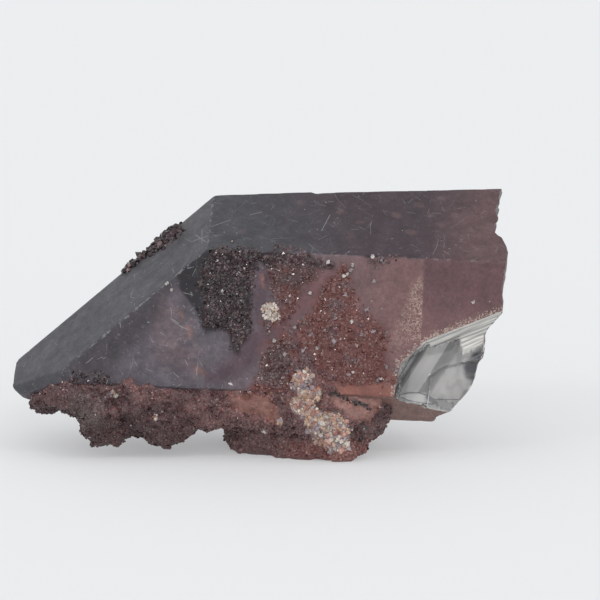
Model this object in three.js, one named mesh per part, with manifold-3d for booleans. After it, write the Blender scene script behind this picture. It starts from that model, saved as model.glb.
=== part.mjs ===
// Quartz druse: one large quartz crystal that lies on a lumpy crust of small ones.
// Millimetres, +Z up. The foot of the crust stands on z = 0, and the crystal's tip points to -X.

import * as THREE from 'three';
import { ConvexGeometry } from 'three/addons/geometries/ConvexGeometry.js';
import { mergeVertices } from 'three/addons/utils/BufferGeometryUtils.js';
import Module from 'manifold-3d';

const wasm = await Module();
wasm.setup();

// How the large crystal lies: its long axis dips and turns a little, and its front face leans back.
const AXIS_RISE = 2.1;
const AXIS_TURN = 2.3;
const FRONT_LEAN = 3;
const SHOULDER = new THREE.Vector3(-9.3, 0.7, 21.7);

// The middle of the specimen on the ground, which becomes its origin
const MIDDLE = new THREE.Vector3(-4.3, 8.4, 0);

// Quartz: prism faces are 60 degrees apart, and each end face slopes 38.2 degrees past its prism face.
const END_SLOPE = 38.2;

// Distance of each face from the shoulder, the corner where the top, the front and the big end face
// meet. A turn is counted round the long axis from the top face towards the front.
const PRISM_FACES = [
  { turn: 0, distance: 0 },
  { turn: 60, distance: 0 },
  { turn: 120, distance: 12.2, crusted: true },
  { turn: 180, distance: 17.8, crusted: true },
  { turn: 240, distance: 16.8 },
  { turn: 300, distance: 7.9, taper: 5.5 },
];
const END_FACES = [
  { turn: 0, distance: 0 },
  { turn: 60, distance: 8.8 },
  { turn: 120, distance: 21, crusted: true },
  { turn: 180, distance: 24.2, crusted: true },
  { turn: 240, distance: 24 },
  { turn: 300, distance: 6.2 },
];

// The broken end, measured along the crystal from the shoulder. Below the bend it runs back under.
// A hollow has a place on the break, a radius and a depth, and a bulge has a depth below zero.
const BREAK_AT = 29.4;
const BREAK_BEND = -4.6;
const BREAK_UNDERCUT = 0.36;
const BREAK_CELL = 2.2;
const BREAK_HOLLOWS = [
  { at: [-9, -1], radius: 3.4, depth: 0.8 },
  { at: [-1.6, 0], radius: 2.6, depth: -0.7 },
  { at: [1.6, -4], radius: 1.6, depth: -0.2 },
  { at: [-7, -8], radius: 3.6, depth: 1.4 },
  { at: [-13, -6], radius: 2.6, depth: 0.4 },
  { at: [-3, -14], radius: 2.4, depth: 0.9 },
  { at: [3, -10.5], radius: 2.6, depth: -0.7 },
  { at: [4, -17], radius: 2.5, depth: 0.6 },
  { at: [-10, -13], radius: 2.4, depth: -0.6 },
];
const BREAK_JITTER = 0.12;
const BREAK_BLOCK = { length: 12, width: 26, height: 28, middleY: -6, middleZ: -9 };
const BREAK_WAVES = { acrossY: 37, acrossZ: 91 };
const BLANK_LENGTH = 32;

// The chip on the lower front corner of the broken end. Its rim runs over the front face: along is
// measured from the shoulder towards the broken end, down from the upper front edge.
const CHIP_RIM = [
  [29.4, 5.1],
  [22.2, 8.3],
  [19.8, 10.7],
  [19.3, 13.9],
];
const CHIP_WALL_SLOPE = 1.2;
const CHIP_FLOOR = { along: 20.3, down: 14.5, depth: 0.7, perAlong: 0.29, perDown: 0.1 };
const CHIP_LEDGES = [
  { inset: 0, deeper: 0 },
  { inset: 1.9, deeper: 0.45 },
];
const CHIP_MIDDLE = [25, 12, 0.1];
const CHIP_FLOOR_POINTS = [[20, 14], [26, 9], [28, 15]];
const CHIP_REACH = { outwards: 3, pastEnd: 35, below: 22, pastEdge: 18 };

// Patches of small crystals on the front face, as outlines in the same two measures.
const FRONT_HEIGHT = 14.1;
const FRONT_PATCHES = [
  [[0.2, 0.1], [10.5, 0.1], [10.8, 1.5], [9.4, 2.4], [6.9, 1.7], [5.1, 1.3], [4.6, 3.5], [4.7, 7.2],
    [4, 9.5], [3.4, 10.6], [2.7, 9.5], [2.5, 8.2], [0.1, 7.9], [-0.3, 4]],
  [[6.5, 1.6], [10.8, 1.4], [9.8, 3.5], [9.1, 5.2], [8.1, 7], [6.4, 8.1], [5.6, 7.1], [5.8, 5.2],
    [7.3, 4.8]],
  [[13.8, 1], [14.5, 3.5], [15.8, 5.7], [17.9, 7.4], [18.5, 8.9], [18.2, 12.6], [8.6, 12.6], [5.9, 12.2],
    [5.9, 9.4], [9.6, 7.2], [11.3, 4.6], [12.4, 2.6]],
  [[16, -0.1], [19.3, -0.1], [17.7, 0.6], [16.3, 0.6]],
];
const PLACE_JITTER = 0.35;
const FRONT_SPACING = 1.5;
const FRONT_GRAIN = { radius: 1, height: 0.42, sunk: 0.22 };

// Small crystals on the ridge between the big end face and the one behind it.
const RIDGE_DRUSE = { from: 2.6, to: 8.8, count: 16, behind: 1, before: 0.5 };
const RIDGE_GRAIN = { radius: 0.75, height: 0.7, sunk: 0.3 };

// A patch on the two faces at the back, measured along the crystal and down from the rear top edge.
const BACK_PATCHES = [
  { turn: 300, outline: [[2, 10], [5, 7], [9, 6], [13, 7.5], [18, 10.2]] },
  { turn: 240, outline: [[2, 0.2], [17, 0.2], [19, 2.6], [14, 4.5], [5, 3]] },
];
const BACK_SPACING = 1.9;
const BACK_GRAIN = { radius: 1.2, height: 0.55, sunk: 0.3 };

// The crust: a thin layer that follows the crystal's lower faces, and lumps below it. A lump is a
// centre and three half sizes.
const GAP = 0.3;
const CRUST = { thickness: 0.5, from: -27, to: 8.2, lip: 0.2, top: 0.2 };
const FRONT_LUMPS = [
  { centre: [-23.4, 1.9, 6.9], size: [1.7, 1.8, 1.2] },
  { centre: [-20.8, 2.4, 5.2], size: [1.6, 2.7, 2.9] },
  { centre: [-19.5, 2.7, 4.3], size: [1.9, 2.7, 3] },
  { centre: [-16.3, 2.7, 5.9], size: [2.4, 3, 2.9] },
  { centre: [-14.2, 3, 4.6], size: [1.9, 2.9, 3] },
  { centre: [-12.6, 3.2, 4.2], size: [2, 2.8, 3] },
  { centre: [-9.4, 3, 5.4], size: [2.7, 3.1, 2.6] },
  { centre: [-6, 2.7, 5.6], size: [2.9, 2.9, 2.5] },
  { centre: [-3.1, 2.4, 5.3], size: [2.8, 2.9, 2.6] },
  { centre: [-0.3, 2.2, 5.2], size: [2.6, 3, 2.9] },
  { centre: [2.5, 1.9, 5.3], size: [2.7, 3.1, 3.6] },
  { centre: [0.5, 0.3, 8.6], size: [1.3, 1.2, 1.7] },
  { centre: [5.4, 2.3, 5.6], size: [2.9, 3, 2.8] },
  { centre: [7.3, 3.7, 4.9], size: [2.3, 2.8, 2.4] },
  { centre: [6.4, 4.9, 2.9], size: [2.3, 3.2, 2.4] },
];
const FOOT_LUMPS = [
  { centre: [-5.9, 6.8, 1.6], size: [2.5, 2.4, 2.5] },
  { centre: [-3.6, 5.3, 1.7], size: [2.5, 2.3, 2.4] },
  { centre: [-0.8, 4, 1.6], size: [2.5, 2.3, 2.3] },
  { centre: [1.8, 2.5, 1.5], size: [2.2, 2.2, 2.1] },
  { centre: [4.2, 1.4, 1.2], size: [1.7, 1.9, 1.8] },
  { centre: [4.7, 4.8, 1.7], size: [2, 2.6, 2.4] },
  { centre: [4.5, 9.6, 2], size: [2.3, 2.8, 2.8] },
  { centre: [2.2, 12.2, 2.4], size: [2.9, 2.5, 3.2] },
  { centre: [-2, 12.6, 2.5], size: [3, 2.4, 3.2] },
  { centre: [-5, 11, 2.2], size: [2.3, 2.6, 3] },
];
const REAR_LUMPS = {
  from: -12, to: 15, pitch: 4.2, rows: [2.4, -1.2, -4.9, -7.6], size: [2, 3], jitter: 0.8,
};
const LUMP_DETAIL = { front: 2, rear: 1 };
const LUMP_SWELL = 0.07;
const SWELL_WAVES = 3;
const LUMP_ROUGHNESS = 0.16;
const LUMP_GRAIN = { radius: 0.85, height: 0.5, sunk: 0.3 };
const LUMP_GRAIN_SPACING = 3.4;
const TURN_JITTER = 0.3;
const CLEAR_OF_GROUND = 0.2;

// The core of the foot, whose cut underside is what the specimen rests on.
const FOOT_OUTLINE = [
  [-6.6, 7.4], [-4.2, 4.9], [-1.4, 3.4], [1.8, 1.7], [4.4, 1], [5.3, 4.8], [5.2, 9.4], [4, 12.6],
  [-0.6, 13.6], [-5.4, 12.4],
];
const FOOT_HEIGHT = 9;

// A pale cluster of small crystals on the front of the crust, from its top to its lower end.
const CLUSTER_ROUTE = [
  [0.2, -0.8, 9.6], [0.9, -0.9, 7.6], [2, -1.2, 6], [3.4, -1.2, 4.6], [3.2, -0.8, 2.8],
];
const CLUSTER = { count: 16, spread: 1, setBack: 0.5 };
const CLUSTER_OUTWARDS = new THREE.Vector3(0, -1, 0.1).normalize();
const CLUSTER_GRAIN = { radius: 0.6, height: 0.7, sunk: 0.35 };

const SPECIMEN_SEED = 20;
const TILT_OF_GRAINS = 0.45;
const SIZE_RANGE = [0.65, 1.15];
const SCRAMBLE_WEIGHTS = [13, 78.2, 37.7];
const SCRAMBLE_SCALE = 43758.5;
const MERGE_DISTANCE = 1e-4;
const PARALLEL = 1e-6;
const FAR = 60;

const degrees = THREE.MathUtils.degToRad;

// Seeded random numbers from 0 to 1, so that every build gives the same specimen.
let randomState = SPECIMEN_SEED;
function random() {
  randomState = (randomState * 1664525 + 1013904223) % 4294967296;
  return randomState / 4294967296;
}

function between(low, high) {
  return low + (high - low) * random();
}

// The crystal's own frame: X along the axis to the tip, Y towards the front, Z out of the top face.
function crystalFrame() {
  const rise = degrees(AXIS_RISE);
  const turn = degrees(AXIS_TURN);
  const tip = new THREE.Vector3(-Math.cos(turn), Math.sin(turn), 0).multiplyScalar(Math.cos(rise));
  tip.z = Math.sin(rise);
  const topAngle = degrees(FRONT_LEAN + 60);
  const top = new THREE.Vector3(0, -Math.cos(topAngle), Math.sin(topAngle));
  top.addScaledVector(tip, -top.dot(tip)).normalize();
  const front = new THREE.Vector3().crossVectors(top, tip);
  return new THREE.Matrix4().makeBasis(tip, front, top).setPosition(SHOULDER);
}

// A closed solid from a geometry
function solidOf(geometry) {
  const bare = geometry.clone();
  bare.deleteAttribute('normal');
  bare.deleteAttribute('uv');
  const merged = mergeVertices(bare, MERGE_DISTANCE);
  return new wasm.Manifold(new wasm.Mesh({
    numProp: 3,
    vertProperties: new Float32Array(merged.attributes.position.array),
    triVerts: new Uint32Array(merged.index.array),
  }));
}

// A faceted geometry from a solid
function geometryOf(solid) {
  const { vertProperties, triVerts } = solid.getMesh();
  const geometry = new THREE.BufferGeometry();
  geometry.setAttribute('position', new THREE.BufferAttribute(vertProperties, 3));
  geometry.setIndex(new THREE.BufferAttribute(triVerts, 1));
  const faceted = geometry.toNonIndexed();
  faceted.computeVertexNormals();
  return faceted;
}

function join(solids) {
  return solids.reduce((whole, solid) => whole.add(solid));
}

function largestBody(solid) {
  return solid.decompose().reduce((best, body) => (body.volume() > best.volume() ? body : best));
}

// A face as a plane: normal . point = distance, in the crystal's frame
function prismNormal(turn) {
  return new THREE.Vector3(0, Math.sin(degrees(turn)), Math.cos(degrees(turn)));
}

function sideFace({ turn, distance, taper = 0 }) {
  const normal = prismNormal(turn).multiplyScalar(Math.cos(degrees(taper)));
  normal.x = Math.sin(degrees(taper));
  return { normal, distance };
}

function endFace({ turn, distance }) {
  const normal = prismNormal(turn).multiplyScalar(Math.cos(degrees(END_SLOPE)));
  normal.x = Math.sin(degrees(END_SLOPE));
  return { normal, distance };
}

function meetingPoint(a, b, c) {
  const faces = new THREE.Matrix3().set(
    ...a.normal.toArray(), ...b.normal.toArray(), ...c.normal.toArray(),
  );
  if (Math.abs(faces.determinant()) < PARALLEL) return null;
  return new THREE.Vector3(a.distance, b.distance, c.distance).applyMatrix3(faces.invert());
}

// The convex solid inside a list of planes
function polyhedron(planes) {
  const inside = (point) => planes.every(
    ({ normal, distance }) => normal.dot(point) < distance + MERGE_DISTANCE,
  );
  const corners = [];
  planes.forEach((a, i) => planes.slice(i + 1).forEach((b, j) => planes.slice(i + j + 2).forEach((c) => {
    const corner = meetingPoint(a, b, c);
    if (corner && inside(corner)) corners.push(corner);
  })));
  return new ConvexGeometry(corners);
}

// The faces of the whole crystal before it broke, moved outwards by a clearance
function crystalPlanes(clearance = 0) {
  const faces = [...PRISM_FACES.map(sideFace), ...END_FACES.map(endFace)];
  faces.push({ normal: new THREE.Vector3(-1, 0, 0), distance: BLANK_LENGTH });
  return faces.map(({ normal, distance }) => ({ normal, distance: distance + clearance }));
}

// How far along the crystal the break lies, at a place across it
function breakSurface(y, z) {
  const undercut = BREAK_UNDERCUT * Math.max(0, BREAK_BEND - z);
  const jitter = BREAK_JITTER * Math.sin(BREAK_WAVES.acrossY * y + BREAK_WAVES.acrossZ * z);
  return BREAK_HOLLOWS.reduce((surface, { at, radius, depth }) => {
    const away = Math.hypot(y - at[0], z - at[1]) / radius;
    return surface + depth * Math.exp(-away * away);
  }, -BREAK_AT + undercut + jitter);
}

// What the break takes away: a block whose inner side is the rough, slanted surface of the break
function breakTool() {
  const { length, width, height, middleY, middleZ } = BREAK_BLOCK;
  const rows = Math.round(width / BREAK_CELL);
  const columns = Math.round(height / BREAK_CELL);
  const block = new THREE.BoxGeometry(length, width, height, 1, rows, columns);
  block.translate(0, middleY, middleZ);
  const place = block.attributes.position;
  for (let i = 0; i < place.count; i += 1) {
    const surface = breakSurface(place.getY(i), place.getZ(i));
    place.setX(i, place.getX(i) > 0 ? surface : surface - length);
  }
  return solidOf(block);
}

// A point on the front face, or under it, in the crystal's frame
function onFront(along, down, depth = 0) {
  const height = new THREE.Vector3(0, 0.5, -Math.sqrt(3) / 2);
  return new THREE.Vector3(-along, 0, 0)
    .addScaledVector(height, down)
    .addScaledVector(prismNormal(60), -depth);
}

function planeThrough(a, b, c, insidePoint) {
  const [ab, ac] = [b, c].map((corner) => new THREE.Vector3().subVectors(corner, a));
  const normal = ab.cross(ac).normalize();
  if (normal.dot(insidePoint) > normal.dot(a)) normal.negate();
  return { normal, distance: normal.dot(a) };
}

// What the chip takes away: sloping walls below the rim, and a slanting floor
function chipTool({ inset, deeper }) {
  const middle = onFront(...CHIP_MIDDLE);
  const floorDepth = (along, down) => CHIP_FLOOR.depth + deeper
    + CHIP_FLOOR.perAlong * (along - CHIP_FLOOR.along) + CHIP_FLOOR.perDown * (down - CHIP_FLOOR.down);
  const floorPoints = CHIP_FLOOR_POINTS.map(
    ([along, down]) => onFront(along, down, floorDepth(along, down)),
  );
  const planes = [planeThrough(...floorPoints, middle)];
  CHIP_RIM.slice(1).forEach(([along, down], i) => {
    const [lastAlong, lastDown] = CHIP_RIM[i];
    const across = new THREE.Vector2(lastDown - down, along - lastAlong).normalize().negate();
    const [startAlong, startDown] = [lastAlong + across.x * inset, lastDown + across.y * inset];
    const [endAlong, endDown] = [along + across.x * inset, down + across.y * inset];
    const below = onFront(startAlong + across.x, startDown + across.y, CHIP_WALL_SLOPE);
    planes.push(planeThrough(onFront(startAlong, startDown), onFront(endAlong, endDown), below, middle));
  });
  planes.push({ normal: prismNormal(60), distance: CHIP_REACH.outwards });
  planes.push({ normal: new THREE.Vector3(-1, 0, 0), distance: CHIP_REACH.pastEnd });
  planes.push({ normal: prismNormal(180), distance: CHIP_REACH.below });
  planes.push({ normal: prismNormal(120), distance: CHIP_REACH.pastEdge });
  return solidOf(polyhedron(planes));
}

// One small crystal, a six-sided point, standing on a surface at a place and leaning at random
function grain(place, normal, { radius, height, sunk }) {
  const size = between(...SIZE_RANGE);
  const lean = new THREE.Vector3(between(-1, 1), between(-1, 1), between(-1, 1));
  const direction = normal.clone().addScaledVector(lean, TILT_OF_GRAINS).normalize();
  const point = new THREE.ConeGeometry(radius * size, (height + sunk) * size, 6);
  point.rotateY(between(0, Math.PI));
  point.translate(0, ((height - sunk) / 2) * size, 0);
  point.applyQuaternion(new THREE.Quaternion().setFromUnitVectors(new THREE.Vector3(0, 1, 0), direction));
  point.translate(...place.toArray());
  return solidOf(point);
}

function isInside([x, y], outline) {
  let inside = false;
  outline.forEach(([x1, y1], i) => {
    const [x0, y0] = outline.at(i - 1);
    if (y0 > y !== y1 > y && x < x0 + ((y - y0) * (x1 - x0)) / (y1 - y0)) inside = !inside;
  });
  return inside;
}

// Places on a loose grid inside an outline
function scatter(outline, spacing) {
  const box = new THREE.Box2().setFromPoints(outline.map(([x, y]) => new THREE.Vector2(x, y)));
  const places = [];
  for (let y = box.min.y + spacing / 4; y < box.max.y; y += spacing) {
    for (let x = box.min.x + spacing / 4; x < box.max.x; x += spacing) {
      const place = [x, y].map((value) => value + between(-PLACE_JITTER, PLACE_JITTER) * spacing);
      if (isInside(place, outline)) places.push(place);
    }
  }
  return places;
}

function frontDruse() {
  return FRONT_PATCHES.flatMap((outline) => scatter(outline, FRONT_SPACING)
    .map(([along, down]) => grain(onFront(along, down), prismNormal(60), FRONT_GRAIN)));
}

function ridgeDruse() {
  const [top, behind] = [endFace(END_FACES[0]), endFace(END_FACES[5])];
  const outward = new THREE.Vector3().addVectors(top.normal, behind.normal).normalize();
  return Array.from({ length: RIDGE_DRUSE.count }, () => {
    const distance = between(RIDGE_DRUSE.from, RIDGE_DRUSE.to);
    const place = meetingPoint(top, behind, { normal: new THREE.Vector3(1, 0, 0), distance });
    const side = new THREE.Vector3(0, between(-RIDGE_DRUSE.behind, RIDGE_DRUSE.before), 0);
    side.addScaledVector(top.normal, -Math.max(0, side.dot(top.normal)));
    side.addScaledVector(behind.normal, -Math.max(0, side.dot(behind.normal)));
    return grain(place.add(side), outward, RIDGE_GRAIN);
  });
}

function backDruse() {
  return BACK_PATCHES.flatMap(({ turn, outline }) => {
    const face = sideFace(PRISM_FACES.find((prism) => prism.turn === turn));
    const before = sideFace(PRISM_FACES.find((prism) => prism.turn === (turn + 60) % 360));
    const downward = new THREE.Vector3(1, 0, 0).cross(face.normal).normalize();
    return scatter(outline, BACK_SPACING).map(([x, y]) => {
      const edge = meetingPoint(face, before, { normal: new THREE.Vector3(-1, 0, 0), distance: x });
      return grain(edge.addScaledVector(downward, y), face.normal, BACK_GRAIN);
    });
  });
}

function crystalSolid(frame) {
  const blank = solidOf(polyhedron(crystalPlanes()));
  const druse = join([...frontDruse(), ...ridgeDruse(), ...backDruse()]);
  const broken = blank.add(druse).subtract(breakTool());
  const chipped = CHIP_LEDGES.reduce((solid, ledge) => solid.subtract(chipTool(ledge)), broken);
  return largestBody(chipped.transform(frame.toArray()));
}

// The part of the crust that follows the crystal's lower faces
function followingCrust(frame) {
  const { thickness, from, to, lip, top } = CRUST;
  const faces = [...PRISM_FACES, ...END_FACES];
  const planes = crystalPlanes().map(({ normal, distance }, i) => ({
    normal,
    distance: distance + (faces[i]?.crusted ? thickness : -lip),
  }));
  planes.push({ normal: prismNormal(0), distance: onFront(0, FRONT_HEIGHT).z - top });
  const crust = solidOf(polyhedron(planes)).transform(frame.toArray());
  const range = new THREE.BoxGeometry(to - from, FAR, FAR);
  range.translate((from + to) / 2, 0, 0);
  return crust.intersect(solidOf(range));
}

// Lumps in rows along the crystal's lowest face, where the foot doesn't cover it
function lumpsUnder(frame) {
  const { from, to, pitch, rows, size, jitter } = REAR_LUMPS;
  return rows.flatMap((row, i) => {
    const lumps = [];
    for (let along = from + (i % 2) * (pitch / 2); along < to; along += pitch) {
      const place = new THREE.Vector3(-along, row, -PRISM_FACES[3].distance);
      place.add(new THREE.Vector3(between(-jitter, jitter), between(-jitter, jitter), 0));
      const centre = place.applyMatrix4(frame).toArray();
      const halfSizes = centre.map(() => between(...size));
      if (!isInside(centre, FOOT_OUTLINE)) lumps.push({ centre, size: halfSizes });
    }
    return lumps;
  });
}

// A value from 0 to 1 that looks random but belongs to a place, so that shared corners stay shared
function scrambled(place) {
  const sum = SCRAMBLE_WEIGHTS.reduce((total, weight, axis) => total + weight * place[axis].toFixed(3), 0);
  const value = SCRAMBLE_SCALE * Math.sin(sum);
  return value - Math.floor(value);
}

function lumpSolid({ centre, size }, detail) {
  const lump = new THREE.IcosahedronGeometry(1, detail);
  const place = lump.attributes.position;
  const point = new THREE.Vector3();
  for (let i = 0; i < place.count; i += 1) {
    point.fromBufferAttribute(place, i);
    const ownPlace = point.toArray().map((value, axis) => SWELL_WAVES * value + centre[axis]);
    const [x, y, z] = ownPlace;
    const swell = Math.sin(2 * x + z) * Math.sin(2 * y) + Math.sin(2 * z - x + y);
    point.multiplyScalar(1 + LUMP_SWELL * swell + LUMP_ROUGHNESS * (scrambled(ownPlace) - 0.5));
    place.setXYZ(i, ...point.toArray());
  }
  lump.scale(...size);
  lump.translate(...centre);
  return solidOf(lump);
}

// Whether a place is out of sight, in another lump, in the large crystal or under the ground
function isBuried(place, ownLump, lumps, inCrystal) {
  const isIn = ({ centre, size }) => place.clone().sub(new THREE.Vector3(...centre))
    .divide(new THREE.Vector3(...size)).length() < 1;
  const inLump = lumps.some((lump) => lump !== ownLump && isIn(lump));
  return inLump || place.z < CLEAR_OF_GROUND || inCrystal(place);
}

// Small crystals all over one lump, evenly spread by the golden angle
function lumpDruse(lump, spacing, isHidden) {
  const [centre, size] = [new THREE.Vector3(...lump.centre), new THREE.Vector3(...lump.size)];
  const goldenAngle = Math.PI * (3 - Math.sqrt(5));
  const radius = (size.x + size.y + size.z) / 3;
  const count = Math.round((4 * Math.PI * radius * radius) / (spacing * spacing));
  const grains = [];
  for (let i = 0; i < count; i += 1) {
    const height = 1 - (2 * i + 1) / count;
    const turn = i * goldenAngle + between(-TURN_JITTER, TURN_JITTER);
    const flat = Math.sqrt(1 - height * height);
    const direction = new THREE.Vector3(flat * Math.cos(turn), flat * Math.sin(turn), height);
    const place = direction.clone().multiply(size).add(centre);
    const normal = direction.divide(size).normalize();
    if (!isHidden(place)) grains.push(grain(place, normal, LUMP_GRAIN));
  }
  return grains;
}

function footSolid() {
  const outline = new THREE.Shape(FOOT_OUTLINE.map(([x, y]) => new THREE.Vector2(x, y)));
  return solidOf(new THREE.ExtrudeGeometry(outline, { depth: FOOT_HEIGHT, bevelEnabled: false }));
}

function clusterDruse() {
  const route = new THREE.CatmullRomCurve3(CLUSTER_ROUTE.map((place) => new THREE.Vector3(...place)));
  const middle = route.getPoint(0.5);
  return Array.from({ length: CLUSTER.count }, () => {
    const place = route.getPoint(random());
    place.x += between(-CLUSTER.spread, CLUSTER.spread);
    place.y += CLUSTER.setBack * Math.abs(place.x - middle.x) * random();
    return grain(place, CLUSTER_OUTWARDS, CLUSTER_GRAIN);
  });
}

function allLumpDruse(frame, front, rear) {
  const toCrystal = frame.clone().invert();
  const planes = crystalPlanes();
  const inCrystal = (place) => {
    const local = place.clone().applyMatrix4(toCrystal);
    return planes.every(({ normal, distance }) => normal.dot(local) < distance);
  };
  const lumps = [...front, ...rear];
  return front.flatMap((lump) => lumpDruse(lump, LUMP_GRAIN_SPACING, (place) => (
    isBuried(place, lump, lumps, inCrystal))));
}

function baseSolid(frame, crystal) {
  const rear = lumpsUnder(frame);
  const frontLumps = FRONT_LUMPS.map((lump) => lumpSolid(lump, LUMP_DETAIL.front));
  const otherLumps = [...FOOT_LUMPS, ...rear].map((lump) => lumpSolid(lump, LUMP_DETAIL.rear));
  const body = join([followingCrust(frame), footSolid(), ...frontLumps, ...otherLumps]);
  const druse = join([...allLumpDruse(frame, [...FRONT_LUMPS, ...FOOT_LUMPS], rear), ...clusterDruse()]);
  const room = solidOf(polyhedron(crystalPlanes(GAP))).transform(frame.toArray());
  const ground = new THREE.BoxGeometry(2 * FAR, 2 * FAR, FAR);
  ground.translate(0, 0, -FAR / 2);
  const cut = body.add(druse).subtract(room).subtract(solidOf(ground));
  return largestBody(cut.subtract(crystal));
}

function part(name, solid, material) {
  const mesh = new THREE.Mesh(geometryOf(solid), new THREE.MeshStandardMaterial(material));
  mesh.name = name;
  return mesh;
}

const frame = crystalFrame();
const crystal = crystalSolid(frame);
const base = baseSolid(frame, crystal);

const specimen = new THREE.Group();
specimen.add(part('quartz_crystal', crystal, { color: 0x5a4f55, roughness: 0.25, metalness: 0 }));
specimen.add(part('druse_base', base, { color: 0x6d4c48, roughness: 0.6, metalness: 0 }));
specimen.position.copy(MIDDLE).negate();

export default specimen;
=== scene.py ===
# Quartz druse: one large broken crystal that lies on a crust of small ones.
# Lengths are in millimetres in the model's own frame until a mesh is made, and then in metres.

import itertools

import bpy
import numpy as np
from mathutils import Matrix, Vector


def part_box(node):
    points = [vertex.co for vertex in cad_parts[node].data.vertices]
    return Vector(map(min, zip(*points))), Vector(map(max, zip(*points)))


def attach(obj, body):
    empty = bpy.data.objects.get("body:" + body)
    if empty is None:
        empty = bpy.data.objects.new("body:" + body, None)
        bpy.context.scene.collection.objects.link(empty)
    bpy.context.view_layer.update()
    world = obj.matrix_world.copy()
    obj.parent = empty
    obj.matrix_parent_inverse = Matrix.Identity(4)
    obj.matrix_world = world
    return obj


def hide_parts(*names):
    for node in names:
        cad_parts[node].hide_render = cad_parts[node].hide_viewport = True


MM = 0.001
SEED = 7

# The photograph's camera: it looks along +Y, a little down, at a point in the crystal.
CAMERA_TARGET = np.array([4.3, -8.4, 16.65])
CAMERA_DISTANCE = 420
CAMERA_ELEVATION = 10
CAMERA_LENS = 252
CAMERA_SENSOR = 36

# Soft distant lights: where each shines from, how many degrees wide it looks, and its strength
LIGHTS = {
    "top": ((-0.1, -0.3, 1), 80, 0.1),
    "left": ((-1, -0.8, 0.15), 60, 0.5),
    "right": ((1, -0.8, 0.2), 60, 0.55),
    "back": ((0, 1, 0.7), 60, 0.1),
    "front": ((0, -1, 0.4), 65, 0.85),
    "spark_left": ((-1, -0.9, 0.8), 8, 0.24),
    "spark_right": ((0.8, -1, 1.1), 8, 0.24),
    "spark_front": ((0.1, -1, 0.45), 8, 0.2),
}
WORLD_STRENGTH = 0.75
DAYLIGHT = (0.97, 0.985, 1, 1)
FLOOR = {"half_width": 4000.0, "drop": 0.01, "glow": 0.29, "colour": (0.52, 0.523, 0.53, 1)}

# How the large crystal lies. Its shoulder is the corner where the top face, the front face and the
# big end face meet.
AXIS_RISE = 2.1
AXIS_TURN = 2.3
FRONT_LEAN = 3
SHOULDER = np.array([-5.0, -7.7, 21.7])
END_SLOPE = 38.2

# Faces by their turn round the long axis from the top face towards the front: distance from the
# shoulder, and taper towards the broken end
PRISM_FACES = {0: (0, 0), 60: (0, 0), 120: (12.2, 0), 180: (17.8, 0), 240: (16.8, 0), 300: (7.9, 5.5)}
END_FACES = {0: 0, 60: 8.8, 120: 21, 180: 24.2, 240: 24, 300: 6.2}
TOP_STEP = {"turn": 300, "along": [1, 9.9, 10.4, 12.5], "height": [0.12, 0.28, 0.02, 0.14]}
EDGE_SOFTNESS = 0.07

# The broken end, along the crystal from the shoulder. A hollow is a place on it, a radius and a depth.
BREAK_AT = 29.4
BREAK_BEND = -4.6
BREAK_UNDERCUT = 0.36
BREAK_HOLLOWS = [
    ((-9, -1), 3.4, 0.8),
    ((-1.6, 0), 2.6, -0.7),
    ((1.6, -4), 1.6, -0.2),
    ((-7, -8), 3.6, 1.4),
    ((-13, -6), 2.6, 0.4),
    ((-3, -14), 2.4, 0.9),
    ((3, -10.5), 2.6, -0.7),
    ((2.8, -10.8), 1.1, 0.45),
    ((4.2, -13.2), 1.3, -0.6),
    ((4.6, -14.4), 1, -0.4),
    ((4.2, -16.8), 3, 1.5),
    ((-10, -13), 2.4, -0.6),
]
BREAK_ROUGHNESS = [(2.6, 0.34), (1.1, 0.16), (0.5, 0.05)]
# Curved shells of the break: a place on it, depth, and radius of the shell
BREAK_SHELLS = [
    ((-3, -4), 1.1, 6), ((-8, -5), 1.4, 5), ((1, -8), 0.6, 6), ((-5, -9), 0.9, 4), ((-11, -9), 1.3, 4),
    ((-1, -12), 1.2, 5), ((-7, -13), 1.1, 4), ((-12, -13), 0.8, 3), ((1.5, -15), 0.5, 4),
    ((-4, -16), 0.9, 4), ((-5.5, -1.5), 0.8, 3), ((-9, -11), 0.7, 2), ((-3, -7.5), 0.6, 2),
]
BREAK_RIPPLE = {"height": 0.04, "width": 0.2}
# How far from the break its hollows are worked out, and how its lumps are stretched along the crystal
BREAK_REACH = 4
BREAK_STRETCH = np.array([0.3, 1, 1])

# The chip on the front face: along from the shoulder, and down from the upper front edge
FRONT_HEIGHT = 14.1
CHIP_RIM = [(29.4, 5.1), (22.2, 8.3), (19.8, 10.7), (19.3, 13.9)]
CHIP_WALL_SLOPE = 1.2
CHIP_FLOOR = {"along": 20.3, "down": 14.5, "depth": 0.7, "per_along": 0.29, "per_down": 0.1}
CHIP_LEDGES = [(0, 0), (1.9, 0.45)]
CLEAR_THICKNESS = 0.45
CLEAR_EDGE = {"width": 1.2, "beside_band": 0.2}
CLEAR_BOX = {"past_rim": 2, "below": 6, "behind": 6, "under": 4}
CLEAR_GAP = 0.03
# Edges sharper than so many degrees stay sharp in the shading
SHARP_FROM = {"crystal": 25, "clear": 20}

# Widths of the grid cells of the three large meshes, and how far their grids reach past the boxes
CRYSTAL_CELL = 0.23
CLEAR_CELL = 0.12
BASE_CELL = 0.24
BOX_MARGIN = 1

# Slanting bands in the clear corner, painted internal reflection and shade: the direction across them, then
# places along it with a brightness
BAND_ACROSS = np.array([0.87, 0.5])
CHIP_BANDS = [
    (22.2, 0.75), (22.6, 0.9), (22.7, 0.5), (22.85, 0.9), (23.1, 0.8), (23.2, 0.3), (23.35, 0.75),
    (23.5, 0.35), (23.62, 0.12), (23.75, 0.35), (24, 0.3), (24.15, 0.8), (24.9, 1), (25.6, 0.9),
    (25.72, 0.42), (26.2, 0.4), (26.7, 0.5), (27, 0.85), (28.2, 0.95), (29.2, 0.75), (31, 0.65),
]
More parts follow.
